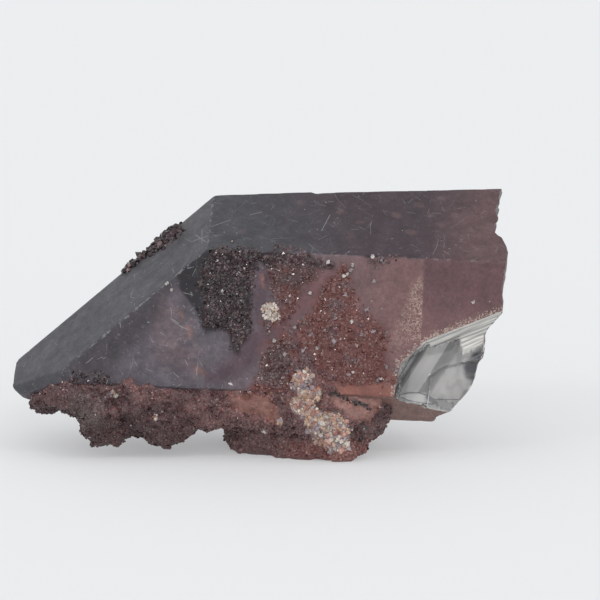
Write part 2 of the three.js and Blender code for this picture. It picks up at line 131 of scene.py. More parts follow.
# Dark lines in the chip, along and down, and the width of each. The lower line under the lip and the widest
# one at its right end are the lip's painted shadow.
CHIP_LINES = [
    ([(22.7, 9.1), (23.9, 8.6), (25.6, 7.8)], 0.08),
    ([(22.3, 8.8), (19.9, 12.8)], 0.1),
    ([(19.7, 14), (20.7, 13.75), (21.8, 13.75), (22.6, 14.1), (23.3, 14.5)], 0.09),
    ([(20, 14.2), (20.6, 14.5), (21.8, 14.8), (23.2, 15)], 0.09),
    ([(22.6, 14.25), (23.3, 14.8)], 0.32),
    ([(23.3, 14.5), (25.7, 14.5)], 0.07),
]
# In the chip: a dark patch, the striped band under its upper rim, and two facets with their brightness,
# painted as lit and shaded
CHIP_DARK = [(26.1, 11.1), (26.5, 10.1), (27.1, 9.6), (27.9, 9.1), (27.9, 11), (27.4, 12.6), (26.4, 12.3)]
CHIP_TOP_BAND = [(22.8, 8.9), (24.2, 8.5), (25.6, 8), (26.1, 9.7), (27.8, 8.7), (30, 7.6), (30, 4), (22, 8)]
CHIP_FACETS = [
    ([(19.5, 13.8), (20.9, 13.7), (22.3, 13.8), (23.3, 14.5), (23.5, 14.9), (21.4, 14.8),
      (20.3, 14.5)], 0.95),
    ([(23.5, 14.6), (23.9, 14.4), (25.4, 14.9), (25.3, 15.8), (24.4, 15.6), (23.6, 15.2)], 0.5),
]

# Patches of small crystals on the front face, along and down
DARK_DRUSE = [
    (0.5, -0.1), (2.3, -0.4), (4.3, -0.2), (7.8, -0.4), (10.5, 0.4), (12.8, 0.9), (12.6, 1.3),
    (10.8, 1.4), (9.4, 2.2), (6.9, 1.6), (5.2, 1.1), (4.5, 2.4), (4.6, 4.9), (4.7, 7.2), (4.1, 9.5),
    (3.5, 10.6), (2.8, 9.6), (2.5, 8.2), (0.1, 8), (-0.2, 4.1), (-0.4, 2.6),
]
MIDDLE_DRUSE = [
    (6.6, 1), (10.8, 1.2), (11.2, 2.1), (9.8, 3.5), (9.1, 5.2), (8.1, 7), (6.4, 8.1), (5.8, 7.1),
    (7.2, 6.6), (7.5, 4.8), (6.4, 2.8),
]
RED_DRUSE = [
    (13.8, 1), (14.5, 3.5), (15.7, 5.7), (17.9, 7.4), (18.5, 8.9), (18.2, 11.6), (19.2, 12.4), (16, 13.1),
    (12.4, 13), (11, 14.3), (4.9, 14.3), (6, 12.2), (5.9, 9.4), (9.6, 7.2), (11.3, 4.6), (12.4, 2.6),
]
EDGE_PIT = [(16, 0.2), (19.3, -0.2), (17.7, 0.6), (16.3, 0.6)]
LOW_EDGE_GRAINS = [(-13.4, 14.4), (-12.8, 13.4), (-11.4, 12.9), (-10, 13.1), (-9, 13.8), (-8.6, 14.4)]
BRICK_BAND = [(11.4, 14.6), (12.4, 13.2), (16, 13), (19.2, 12.6), (19.5, 14.6)]
BROWN_DRUSE = [(6.2, 9.8), (8.3, 9.2), (8.9, 11.5), (8.2, 13), (5.9, 13.4)]

# The pale tuft and the places of small groups of grains on the front face, along and down
PALE_TUFT = {"place": (6.7, 6.1), "radius": 1, "count": 120}
TUFT_DOME = {"top": 0.25, "drop": 0.35}
WHITE_GROUP = {"radius": 0.12, "count": 3, "wider": 0.1}
LILAC_GROUP = {"radius": 0.2, "count": 4, "wider": 0.16}
WHITE_GRAINS = [
    (13.1, 6.4), (14.7, 6.7), (14.1, 1.9), (11.4, 9.5), (7.1, 8.9), (13.8, 2.1), (10.5, 4), (15.1, 11.7),
    (17.9, 12.3), (8.5, 12.2), (2.9, 13.5), (3.8, 1.7), (12.2, 0.8), (16.6, 0), (26.8, 4.2),
    (-3.9, 3.6), (-3.4, 4.2), (1.7, 4.1), (14.6, 1),
]
LILAC_GRAINS = [
    (17, 7.5), (13.1, 8.7), (12, 7.7), (10.7, 8.1), (8.2, 10.2), (7.5, 9.5), (9.1, 7.5), (14.5, 1.5),
    (16.8, 2.5), (14, 4), (18.4, 11), (14.6, 12), (17.6, 12.5), (19.4, 11.3), (15.8, 7.9), (17.5, 0.4),
    (1.9, 1.7), (3.7, 5.1), (9.6, 12.4), (16.2, 5.4), (10, 9.8),
]

# Hairs and scratches on the end face and the top face: towards the tip, the front and up from the shoulder
HAIRS = [
    [(7.6, -3.2, -6), (7.4, -1.5, -5.9), (7.7, 0.5, -6.05), (6.9, 1.4, -5.5), (6.2, 1.8, -4.9)],
    [(4.9, -2.5, -3.9), (4.1, -1.6, -3.3), (3.5, -0.3, -2.8), (3.25, 0.8, -2.55)],
    [(1.9, -3.1, -1.5), (0.06, -2.3, -0.05)],
    [(1.4, -3.8, -1.1), (0.2, -1.4, -0.16)],
    [(0.8, -4.2, -0.65), (0.6, -1.5, -0.45)],
    [(-0.1, -3.8, 0), (-2, -5.1, 0)],
    [(-3.9, -6.1, 0), (-5.1, -6.7, 0)],
    [(-11.3, -4, 0), (-12, -6.7, 0)],
]
# Pale smudges on the top face, along the crystal and across it
TOP_SMUDGES = [
    (3.4, -3.1), (8.9, -8.5), (13, -7.3), (15.3, -5.7), (14.2, -3.4), (21, -9.1), (22.1, -7.4),
    (23.5, -10.2), (24.6, -7.6), (23.2, -5.8), (18.6, -7.2), (20.2, -4.4), (26.2, -5.2), (27.6, -9.6),
    (28.8, -2.1), (28.6, -10.4), (-0.6, -3.2),
]

# Edges that meet at the shoulder, and how strongly their wear shows
WORN_EDGES = [
    (("end", 0), ("prism", 0), 0.3),
    (("end", 0), ("prism", 60), 0.4),
    (("prism", 0), ("prism", 60), 0.16),
]

# Patches on the ridge behind the big end face, along the tip axis, and on the two faces at the back
RIDGE = {"from": 3.2, "to": 8.7, "width": 0.5, "spill": 0.9, "spill_to": 6.4}
BACK_PATCHES = {
    300: [(2, 10.4), (5, 7), (9, 6), (13, 7.5), (18, 10.4)],
    240: [(2, -0.2), (17, -0.2), (19, 2.6), (14, 4.5), (5, 3)],
}

# The crust under the crystal. A lump is a centre and three half sizes.
MIDDLE = np.array([-4.3, 8.4, 0])
FRONT_LUMPS = [
    ((-23.4, 2.1, 6.5), (1.7, 1.8, 1.1)),
    ((-20.8, 2.4, 5.2), (1.6, 2.7, 2.9)),
    ((-19.5, 2.7, 4.3), (1.9, 2.7, 3)),
    ((-16.3, 2.7, 5.9), (2.4, 3, 2.9)),
    ((-14.2, 3, 4.6), (1.9, 2.9, 3)),
    ((-12.6, 3.2, 4.5), (2, 2.8, 3)),
    ((-9.4, 3, 5.4), (2.7, 3.1, 2.6)),
    ((-6, 2.7, 5.6), (2.9, 2.9, 2.5)),
    ((-3.1, 2.4, 5.3), (2.8, 2.9, 2.6)),
    ((-0.3, 2.2, 5.2), (2.6, 3, 2.9)),
    ((2.5, 1.9, 5.3), (2.7, 3.1, 3.6)),
    ((0.5, 0.3, 8.6), (1.3, 1.2, 1.7)),
    ((5.4, 2.3, 5.6), (2.9, 3, 2.8)),
    ((7.3, 3.7, 5.4), (2.2, 2.8, 2.1)),
    ((5.8, 4.9, 2.9), (2, 3.2, 2.3)),
]
CRUST = {"thickness": 0.65, "from": -22.7, "to": 12.5, "lip": 0.4, "top": -12.4}
REAR_ROWS = [2.4, -1.2, -4.9, -7.3]
REAR_LUMPS = {
    "from": -12, "to": 15, "pitch": 4.2, "top": -17.8, "sizes": (2, 2.8), "flatness": 0.8, "jitter": 0.7,
}
# How far lumps melt into each other, the base's bumps with their sizes and heights, how far from its
# surface they are worked out, the gap under the large crystal, and how dark the body is
LUMP_JOINTS = {"rear": 0.8, "front": 1.4, "foot": 0.8}
BASE_ROUGHNESS = [(2.2, 0.34), (1, 0.34), (0.45, 0.14)]
BASE_REACH = 1.5
BASE_GAP = 0.4
BODY_SHADE = 0.8
CRUSTED_TURNS = (120, 180)
FOOT_LUMPS = [
    ((-5.4, 6.8, 1.6), (2.3, 2.4, 2.5)),
    ((-3.6, 5.3, 1.7), (2.5, 2.3, 2.4)),
    ((-0.8, 4, 1.6), (2.5, 2.3, 2.3)),
    ((1.8, 2.5, 1.5), (2.2, 2.2, 2.1)),
    ((4.2, 1.4, 1.2), (1.7, 1.9, 1.8)),
    ((4.7, 4.8, 1.7), (2, 2.6, 2.4)),
    ((4.5, 9.6, 2), (2.3, 2.8, 2.8)),
    ((2.2, 12.2, 2.4), (2.9, 2.5, 3.2)),
    ((-2, 12.6, 2.5), (3, 2.4, 3.2)),
    ((-5, 11, 2.2), (2.3, 2.6, 3)),
]

# Crusts of small crystals: how far apart they stand, their widths, their heights as shares of the
# widths, how unevenly they lean, the prism's share of a height, and their material and its gloss
CRUSTS = {
    "crystal_druse": {
        "spacing": 0.25, "widths": (0.24, 0.52), "heights": (0.12, 0.36), "lean": 0.45, "prism": 0,
        "material": ("dark_grains", 0.06, 1.6),
    },
    "ridge_druse": {
        "spacing": 0.42, "widths": (0.42, 0.85), "heights": (0.3, 0.5), "lean": 0.5, "prism": 0.6,
        "material": ("ridge_grains", 0.12, 1.5),
    },
    "pale_tufts": {
        "widths": (0.14, 0.32), "heights": (0.3, 0.9), "lean": 0.8, "prism": 0.3,
        "material": ("pale_grains", 0.25, 1.5),
    },
    "base_druse": {
        "spacing": 0.25, "widths": (0.2, 0.46), "heights": (0.12, 0.36), "lean": 0.45, "prism": 0,
        "material": ("red_grains", 0.14, 1.5),
    },
    "pale_cluster": {
        "spacing": 0.27, "widths": (0.24, 0.74), "heights": (0.25, 0.75), "lean": 0.6, "prism": 0.35,
        "material": ("cluster_grains", 0.2, 1.5),
    },
}
# One small crystal: how uneven its sides are, how deep its foot goes, and how far its point is off
POINT_SHAPE = {"uneven": 0.18, "root": 0.35, "skew": 0.12}
# How far the base's crystals stay from the large crystal and from the ground
CLEAR_OF = {"crystal": 0.02, "ground": 0.25}
# Places tried for each spacing squared, and the least distance between two as a share of the spacing
TRIED_PLACES = 1.8
LEAST_SPACING = 0.75


def srgb(red, green, blue):
    """A colour as the shaders take it, from its three values out of 255"""
    value = np.array([red, green, blue]) / 255
    return np.where(value < 0.04045, value / 12.92, ((value + 0.055) / 1.055) ** 2.4)


def grey(value):
    """A grey as the shaders take it"""
    return (value, value, value, 1)


# Colours of the skin, the small crystals, the base and what shows in the chip
SKIN_GREY = srgb(62, 62, 67)
# The big end face's grey is painted lighter, partly for the stronger light that falls on it
LIT_END_GREY = srgb(74, 73, 77)
SKIN_PURPLE = srgb(58, 47, 53)
SKIN_FRONT = srgb(79, 73, 80)
SKIN_RED = srgb(103, 76, 76)
SKIN_BROWN = srgb(114, 86, 79)
BLUE_BLACK = srgb(14, 12, 18)
SMOOTH_PURPLE = srgb(71, 53, 61)
SMOOTH_RED = srgb(95, 64, 67)
ORANGE = srgb(128, 86, 72)
DARK_GRAINS = srgb(36, 24, 28)
BROWN_GRAINS = srgb(60, 41, 42)
RED_GRAINS = srgb(92, 53, 49)
BREAK_GREY = srgb(98, 90, 93)
# Painted highlight on the ridges of the break
BREAK_RIDGE_HIGHLIGHT = srgb(142, 132, 132)
PINK_GRAINS = srgb(120, 97, 98)
SKIN_DEEP = srgb(84, 60, 64)
WARM = srgb(104, 82, 82)
LILAC_BROWN = srgb(83, 60, 62)
LILAC_GREY = srgb(140, 126, 130)
MATRIX_RED = srgb(113, 78, 76)
MATRIX_DARK = srgb(70, 45, 47)
FOOT_COLOUR = srgb(100, 73, 72)
PALE_GRAINS = srgb(190, 180, 171)
WHITE = srgb(186, 180, 176)
CREAM_GRAINS = srgb(178, 150, 130)
PINK_CLUSTER = srgb(176, 134, 122)
SALMON_COLOUR = srgb(206, 150, 126)
GOLD_COLOUR = srgb(176, 128, 62)
BRICK = srgb(142, 100, 92)
TOE_RED = srgb(122, 72, 66)
ORANGE_MATRIX = srgb(124, 79, 69)
NEAR_BLACK = srgb(34, 30, 34)
GREY_GRAINS = srgb(90, 80, 78)
# What shows through the clear corner, from painted internal reflection to painted shade
VEIL_REFLECTION_BRIGHT = srgb(220, 218, 213)
VEIL_DARK = srgb(44, 41, 52)
# Clear quartz: its index of refraction, its tint at the surface and in its depth, and how dense that is
QUARTZ_IOR = 1.544
CLEAR_TINT = (0.97, 0.97, 0.98, 1)
DEPTH_TINT = (0.78, 0.77, 0.8, 1)
TINT_DENSITY = 120
# Pale paint of the fine marks on the skin
MARK_PAINT = grey(0.26)
HAIR_PAINT = grey(0.3)
WEAR_PAINT = grey(0.28)
DUST_PAINT = grey(0.4)
WORM_PAINT = (0.37, 0.28, 0.23, 1)
RIM_PAINT = (0.38, 0.31, 0.26, 1)

# Patches and streaks of colour on the crystal's front face, along and down
BLUE_BLACK_AREA = [
    (0.9, -0.4), (1, 5.1), (1.8, 8.1), (0.1, 8.7), (-1, 6.2), (-2.6, 4.2), (-3, 2.5), (-0.3, -0.4),
]
DARK_TIP_AREA = [
    (0.4, 0), (-0.2, 0.6), (-4.1, 4.9), (-4.5, 7.1), (-8, 11), (-9.1, 12.9), (-8.5, 14.3), (-20, 15),
    (-20, 12), (-8, 4.5), (-3, 1),
]
WARM_AREA = [(-4.2, 5.2), (-3, 5), (-1.6, 8), (0, 12), (-1.5, 13.2), (-4.5, 11), (-5, 8)]
SMOOTH_AREAS = [
    (SMOOTH_PURPLE, [(4.8, 1.7), (6.2, 1), (6.6, 3.3), (6.2, 6.7), (4.8, 7.2), (4.6, 4.9)]),
    (SMOOTH_RED, [(12.4, 1.4), (13.4, 3), (11.7, 4.6), (9.6, 6.5), (7.8, 8.3), (5.9, 10.1), (4.3, 11.8),
     (3, 13.1), (0.3, 13.6), (0.3, 12.4), (2.9, 10.9), (4.4, 8.5), (6.8, 7.1), (8.7, 5.2), (10.2, 2.9)]),
]
ORANGE_STREAKS = [
    ([(-2.4, 6.3), (-2.2, 7.1)], 0.2),
    ([(-1.6, 8), (-1.35, 8.8)], 0.18),
    ([(-0.6, 12.1), (0.1, 12.6)], 0.25),
    ([(5.6, 2.4), (5.8, 3.6)], 0.16),
]
WORM_AREA = [
    (21.5, 1.7), (22.1, 4.2), (22.1, 7.9), (20.6, 8.6), (18.9, 9.9), (17.9, 8.9), (19.2, 6.6), (20.2, 4.3),
    (20.6, 2.7),
]
WORM_BORDER = 21.75
# A painted shadow along the thin notch at the upper front edge, along and down
NOTCH_SHADOW = [(16, 0.05), (19.8, -0.1)]

# Patches of colour on the front of the base, by place across and height
PALE_OUTLINES = [
    [(3.7, 10), (4.6, 10.3), (5.2, 9.8), (5.4, 8.8), (5.1, 7.6), (4.3, 7.2), (3.5, 7.8), (3.3, 8.8)],
    [(4, 7.5), (5.3, 7.9), (6.4, 7.2), (5.6, 6), (3.4, 6.1)],
    [(3.2, 6.6), (4.3, 7), (5.7, 6.3), (6.5, 5.5), (8.1, 5.4), (9, 4.6), (9.3, 2.8), (8.9, 1.7), (7.7, 1.2),
     (6.5, 1.2), (5.6, 1.8), (5.2, 2.9), (4.9, 4.6), (3.7, 5.4)],
]
PALE_SPOTS = [
    (1.1, 7.3), (2.6, 6.7), (2, 8.7), (2.9, 8.4), (2.3, 4.1), (0.8, 3.3), (-10.2, 4.7), (-14.5, 7.1),
]
PALE_SPOT_RADIUS = 0.2
ORANGE_AREA = [
    (-2.8, 6.8), (-1.9, 7.1), (-0.5, 7), (1.1, 6.8), (1.9, 6), (2.3, 5.2), (2.5, 4), (1.5, 4.4), (0.5, 5),
    (-0.7, 5.2), (-1.7, 5.4), (-2.5, 6),
]
BRICK_AREA = [
    (6.5, 7.5), (8.8, 6.9), (10.8, 6.7), (12.8, 6.7), (12.3, 5.9), (11.5, 4.9), (11.2, 3.9), (9.9, 4.5),
    (8.8, 5.3), (7.7, 6.2),
]
BRICK_LUMP = {"place": (8.4, 0.8), "radius": 1.4}
CRACK = [(7.3, 7.4), (8.8, 6.9), (9.5, 6.5), (10.5, 6.1), (11.5, 5.6)]
CRACK_GRAINS = {"count": 120, "spread": 0.06, "widths": (0.14, 0.24)}
GOLD = {"place": (8.2, 4.2), "radius": 0.5}
BLACK_SPECKS = [(7.9, 5.6), (8.6, 5.5), (10.5, 4), (10.9, 3.5), (10.4, 2.1), (9.2, 3.7)]
SPECK_RADIUS = 0.24
SALMON = {"place": (6.1, 7.5), "radius": 0.22}
GREY_LUMP = {"place": (-17.2, 5.6), "radius": 2.2}
# Where the foot's colour, the painted shade under the hanging lumps, the dark end and the red toe begin and
# are full
FOOT_UNDER = (4.9, 3.1)
HANGING_SHADE = {"across": (-5, -8), "under": (6, 4)}
DARK_END = (-15.5, -18.5)
TOE = {"across": (0.5, 5.5), "before": (-3, -5), "under": (2.6, 1.4)}


def lumps_in_place(lumps):
    """Centres of lumps in the model's frame, with their half sizes"""
    return [(np.array(centre) - MIDDLE, np.array(size)) for centre, size in lumps]


def blend(first, second, amount):
    """Mixes two colours or numbers by an amount from 0 to 1 for each point"""
    amount = np.clip(amount, 0, 1)[:, None]
    return first * (1 - amount) + second * amount


def ramp(value, start, stop):
    """Rises smoothly from 0 at start to 1 at stop"""
    part = np.clip((value - start) / (stop - start), 0, 1)
    return part * part * (3 - 2 * part)


def scrambled(cells, seed):
    """A value from 0 to 1 for each whole-numbered place"""
    mixed = cells[..., 0] * 73856093 ^ cells[..., 1] * 19349663 ^ cells[..., 2] * 83492791 ^ seed * 97
    mixed = (mixed ^ (mixed >> 13)) * 1274126177 & 0xFFFFFFFF
    return ((mixed ^ (mixed >> 16)) & 0xFFFF) / 0xFFFF


def noise(points, size, seed):
    """Smooth noise from -1 to 1 whose bumps are about size wide"""
    scaled_points = points / size
    cells = np.floor(scaled_points).astype(np.int64)
    part = scaled_points - cells
    part = part * part * (3 - 2 * part)
    total = np.zeros(len(points))
    for corner in itertools.product((0, 1), repeat=3):
        weight = np.prod(np.where(np.array(corner) == 1, part, 1 - part), axis=1)
        total += weight * scrambled(cells + np.array(corner), seed)
    return 2 * total - 1


def flat_noise(places, size, seed):
    """The same noise for flat places"""
    return noise(np.column_stack([places, np.zeros(len(places))]), size, seed)


def unit(rows):
    """The directions of vectors, each one long"""
    return rows / np.maximum(np.linalg.norm(rows, axis=1, keepdims=True), 1e-12)


def inside_outline(points, outline):
    """How far flat points lie inside an outline, below zero outside it"""
    closed = np.array([*outline, outline[0]], float)
    inside = np.zeros(len(points), bool)
    for start, end in zip(closed, closed[1:]):
        run, rise = end - start
        offset = points - start
        crosses = (start[1] > points[:, 1]) != (end[1] > points[:, 1])
        inside ^= crosses & (offset[:, 0] < offset[:, 1] * run / (rise or 1))
    nearest = from_line(points, closed)
    return np.where(inside, nearest, -nearest)


def from_line(points, line):
    """Distance of flat points from a line of several stretches"""
    line = np.array(line, float)
    nearest = np.full(len(points), np.inf)
    for start, end in zip(line, line[1:]):
        side = end - start
        offset = points - start
        part = np.clip(offset @ side / (side @ side), 0, 1)
        nearest = np.minimum(nearest, np.linalg.norm(offset - part[:, None] * side, axis=1))
    return nearest


# The shape of the large crystal

def crystal_axes():
    """Unit directions to the tip, to the front and out of the top face"""
    rise, turn, lean = np.radians([AXIS_RISE, AXIS_TURN, FRONT_LEAN + 60])
    tip = np.array([-np.cos(turn) * np.cos(rise), np.sin(turn) * np.cos(rise), np.sin(rise)])
    top = np.array([0, -np.cos(lean), np.sin(lean)])
    top -= top @ tip * tip
    top /= np.linalg.norm(top)
    return np.array([tip, np.cross(top, tip), top])


CRYSTAL_AXES = crystal_axes()
# The direction down the front face, in the crystal's own axes
DOWN_FRONT = np.array([0, 0.5, -np.sqrt(0.75)])


def to_crystal(points):
    """Points in the crystal's own axes, measured from its shoulder"""
    return (points - SHOULDER) @ CRYSTAL_AXES.T


def from_crystal(points):
    """Points in the model's frame, from the crystal's own axes"""
    return points @ CRYSTAL_AXES + SHOULDER


def prism_normal(turn):
    """Direction out of a prism face, in the crystal's own axes"""
    return np.array([0, np.sin(np.radians(turn)), np.cos(np.radians(turn))])


def crystal_faces():
    """Name, normal and distance of each face of the whole crystal"""
    rows = [("prism", turn, taper, distance) for turn, (distance, taper) in PRISM_FACES.items()]
    rows += [("end", turn, END_SLOPE, distance) for turn, distance in END_FACES.items()]
    faces = []
    for kind, turn, slope, distance in rows:
        normal = prism_normal(turn) * np.cos(np.radians(slope))
        normal[0] = np.sin(np.radians(slope))
        faces.append(((kind, turn), normal, distance))
    return faces


FACES = crystal_faces()
FACE_NUMBER = {name: number for number, (name, _, _) in enumerate(FACES)}
TOP_FACE = FACE_NUMBER["prism", 0]
FRONT_FACE = FACE_NUMBER["prism", 60]
UNDER_FACE = FACE_NUMBER["prism", 120]
BIG_END = FACE_NUMBER["end", 0]
BREAK_FACE = len(FACES)
CHIP_FACE = len(FACES) + 1


def face_distances(local):
    """How far each point lies outside each face, one column a face"""
    columns = [local @ normal - distance for _, normal, distance in FACES]
    step = np.interp(-local[:, 0], TOP_STEP["along"], TOP_STEP["height"])
    columns[FACE_NUMBER["prism", TOP_STEP["turn"]]] -= step
    return np.stack(columns, axis=1)


def break_distance(local):
    """How far each point lies outside the rough surface of the break"""
    surface = -BREAK_AT + BREAK_UNDERCUT * np.maximum(0, BREAK_BEND - local[:, 2])
    near = np.abs(surface - local[:, 0]) < BREAK_REACH
    close = local[near]
    for (front, top), radius, depth in BREAK_HOLLOWS:
        away = ((close[:, 1] - front) ** 2 + (close[:, 2] - top) ** 2) / radius ** 2
        surface[near] += depth * np.exp(-away)
    surface[near] += break_shells(close)[0]
    for seed, (size, height) in enumerate(BREAK_ROUGHNESS):
        surface[near] += height * noise(close * BREAK_STRETCH, size, SEED + seed)
    return surface - local[:, 0]


def break_slope(local, step=0.15, most=0.5):
    """How far the break looks up at each place, at most so much, for the painted light on the break"""
    up = step * np.array([0, 0.5, 1])
    rise = break_distance(local + up) - break_distance(local - up)
    return np.clip(rise / (2 * step), -most, most)


def break_shells(local):
    """Depth of the curved shells at each place on the break, and distance from a ridge between two"""
    depths = [np.zeros(len(local))]
    for (front, top), depth, radius in BREAK_SHELLS:
        away = np.hypot(local[:, 1] - front, local[:, 2] - top)
        ripple = BREAK_RIPPLE["height"] * np.sin(away / BREAK_RIPPLE["width"])
        depths.append(depth - away ** 2 / (2 * radius) + ripple)
    ordered = np.sort(depths, axis=0)
    return ordered[-1], ordered[-1] - ordered[-2]


def on_front(local):
    """Where points lie on the front face: along, down, and depth under it"""
    return np.stack([-local[:, 0], local @ DOWN_FRONT], axis=1), -local @ prism_normal(60)


def rim_stretches():
    """Start of each stretch of the chip's rim, and the direction across it into the chip"""
    stretches = []
    for start, end in zip(CHIP_RIM, CHIP_RIM[1:]):
        along, down = np.subtract(end, start)
        stretches.append((np.array(start), np.array([down, -along]) / np.hypot(along, down)))
    return stretches


def rim_inset(places):
    """How far places on the front face lie inside each stretch of the chip's rim"""
    return np.stack([(places - start) @ across for start, across in rim_stretches()], axis=1)


def chip_depth(places):
    """Depth of the fresh surface of the chip under the front face, below zero outside its rim"""
    inset = rim_inset(places).min(axis=1)
    floor = CHIP_FLOOR["depth"] + CHIP_FLOOR["per_along"] * (places[:, 0] - CHIP_FLOOR["along"])
    floor = floor + CHIP_FLOOR["per_down"] * (places[:, 1] - CHIP_FLOOR["down"])
    ledges = [np.minimum(CHIP_WALL_SLOPE * (inset - back), floor + deeper) for back, deeper in CHIP_LEDGES]
    return np.maximum(*ledges)


def clear_thickness(places):
    """Thickness of the clear quartz: thin at the chip's rim, and none in the striped band"""
    inset = rim_inset(places).min(axis=1)
    beside_band = CLEAR_EDGE["beside_band"] - inside_outline(places, CHIP_TOP_BAND)
    return CLEAR_THICKNESS * np.clip(np.minimum(inset, beside_band) / CLEAR_EDGE["width"], 0, 1)


def chip_recess(local):
    """Outside distance of what is left when the chip and its clear quartz are taken away"""
    places, depth = on_front(local)
    return chip_depth(places) + clear_thickness(places) - depth


def whole_crystal(local):
    """Outside distance of the whole crystal, its edges a little rounded"""
    distances = face_distances(local)
    largest = distances.max(axis=1)
    near = np.abs(largest) < 1
    nearness = np.exp((distances[near] - largest[near, None]) / EDGE_SOFTNESS)
    largest[near] += EDGE_SOFTNESS * np.log(nearness.sum(axis=1))
    return largest


def dark_crystal(points):
    """Outside distance of the large crystal without its clear corner"""
    local = to_crystal(points)
    return np.maximum(np.maximum(whole_crystal(local), break_distance(local)), chip_recess(local))


def clear_corner(points):
    """Outside distance of the clear quartz that shows in the chip"""
    local = to_crystal(points)
    places, depth = on_front(local)
    under = depth - chip_depth(places)
    slab = np.maximum(-under, under - clear_thickness(places) + CLEAR_GAP)
    return np.maximum(np.maximum(whole_crystal(local), break_distance(local)), slab)


# Meshes of the surface where a distance is zero, with the sharp edges kept

def slope_at(distance, points, step=0.01):
    """The direction in which a distance grows, as unit vectors"""
    steps = step * np.eye(3)
    return unit(np.stack([distance(points + way) - distance(points - way) for way in steps], axis=1))


def crossings_along(axis, value, grid, cell):
    """Points where the surface crosses the grid's lines in one direction, and the four cells round each"""
    first = np.moveaxis(value, axis, 0)[:-1]
    second = np.moveaxis(value, axis, 0)[1:]
    moved = np.argwhere((first < 0) != (second < 0))
    start, stop = first[tuple(moved.T)], second[tuple(moved.T)]
    place = np.insert(moved[:, 1:], axis, moved[:, 0], axis=1)
    point = grid[tuple(place.T)].copy()
    point[:, axis] += cell * start / (start - stop)
    across, upward = np.eye(3, dtype=int)[[(axis + 1) % 3, (axis + 2) % 3]]
    around = [place, place - across, place - across - upward, place - upward]
    around = np.stack([np.ravel_multi_index(tuple(corner.T), value.shape) for corner in around], axis=1)
    around[start > 0] = around[start > 0, ::-1]
    return point, around


def contour(distance, low, high, cell):
    """Corners and four-sided faces of the surface, one corner in each grid cell that it crosses"""
    ticks = [np.arange(start, stop + cell, cell) for start, stop in zip(low, high)]
    grid = np.stack(np.meshgrid(*ticks, indexing="ij"), axis=-1)
    value = distance(grid.reshape(-1, 3)).reshape(grid.shape[:3])
    crossed = [crossings_along(axis, value, grid, cell) for axis in range(3)]
    crossings, cells = [np.concatenate(part) for part in zip(*crossed)]
    numbers, faces = np.unique(cells, return_inverse=True)
    faces = faces.reshape(cells.shape)
    corners = fitted_corners(crossings, slope_at(distance, crossings), faces, len(numbers))
    lowest = np.stack(np.unravel_index(numbers, value.shape), axis=1) * cell + grid[0, 0, 0]
    return np.clip(corners, lowest, lowest + cell), faces


def fitted_corners(crossings, normals, faces, count, least_bend=0.08):
    """The point in each cell that lies best on the planes through its crossings"""
    owner = faces.ravel()
    point = np.repeat(crossings, 4, axis=0)
    normal = np.repeat(normals, 4, axis=0)
    times = np.bincount(owner, minlength=count)[:, None]
    middle = np.stack([np.bincount(owner, point[:, i], count) for i in range(3)], axis=1) / times
    offset = np.sum(normal * (point - middle[owner]), axis=1)
    sums = np.zeros((count, 3, 3))
    right = np.zeros((count, 3))
    for i in range(3):
        right[:, i] = np.bincount(owner, normal[:, i] * offset, count)
        for j in range(3):
            sums[:, i, j] = np.bincount(owner, normal[:, i] * normal[:, j], count)
    inverse = np.linalg.pinv(sums, rcond=least_bend, hermitian=True)
    return middle + np.einsum("nij,nj->ni", inverse, right)


def face_vectors(corners, faces):
    """A vector out of each four-sided face, twice as long as the face's area"""
    quads = corners[faces]
    return np.cross(quads[:, 2] - quads[:, 0], quads[:, 3] - quads[:, 1])


def corner_normals(corners, faces):
    """The direction out of a mesh at each of its corners"""
    across = face_vectors(corners, faces)
    total = np.zeros_like(corners)
    for i in range(4):
        np.add.at(total, faces[:, i], across)
    return unit(total)


def widened(box):
    """Low and high corner of a box in millimetres, with a margin all round"""
    low, high = np.array(box) / MM
    return low - BOX_MARGIN, high + BOX_MARGIN


def make_object(name, corners, faces, colours=None, numbers=None):
    """A mesh object in metres, with a colour and named numbers for each corner"""
    mesh = bpy.data.meshes.new(name)
    mesh.from_pydata((corners * MM).tolist(), [], faces.tolist())
    mesh.validate()
    if colours is not None:
        tint = mesh.color_attributes.new(name="tint", type="FLOAT_COLOR", domain="POINT")
        tint.data.foreach_set("color", np.insert(colours, 3, 1, axis=1).ravel())
    for label, values in (numbers or {}).items():
        numbered = mesh.attributes.new(label, "FLOAT", "POINT")
        numbered.data.foreach_set("value", values.astype(np.float32))
    made = bpy.data.objects.new(name, mesh)
    bpy.context.scene.collection.objects.link(made)
    return made


# Small crystals: six-sided points that stand on a surface

def scatter(corners, faces, spacing, generator, keep):
    """Random places on a mesh, about spacing apart, with the directions out of it"""
    across = face_vectors(corners, faces)
    area = np.linalg.norm(across, axis=1) / 2
    wanted = int(TRIED_PLACES * area.sum() / spacing ** 2)
    chosen = generator.choice(len(faces), wanted, p=area / area.sum())
    u, v = generator.random((2, wanted, 1))
    quad = corners[faces[chosen]]
    places = (quad[:, 0] * (1 - u) + quad[:, 1] * u) * (1 - v) + (quad[:, 3] * (1 - u) + quad[:, 2] * u) * v
    kept = keep(places)
    places, normals = places[kept], across[chosen][kept]
    spaces = np.floor(places / (LEAST_SPACING * spacing)).astype(int)
    _, first = np.unique(spaces, axis=0, return_index=True)
    first.sort()
    return places[first], unit(normals[first])


def point_faces(rings):
    """Corner numbers of the faces of a six-sided point, with one ring of corners or more under its tip"""
    faces = []
    top = 6 * (rings - 1)
    for i in range(6):
        j = (i + 1) % 6
        for low in range(0, top, 6):
            faces += [(low + i, low + j, low + 6 + j), (low + i, low + 6 + j, low + 6 + i)]
        faces.append((top + i, top + j, top + 6))
    return np.array(faces)


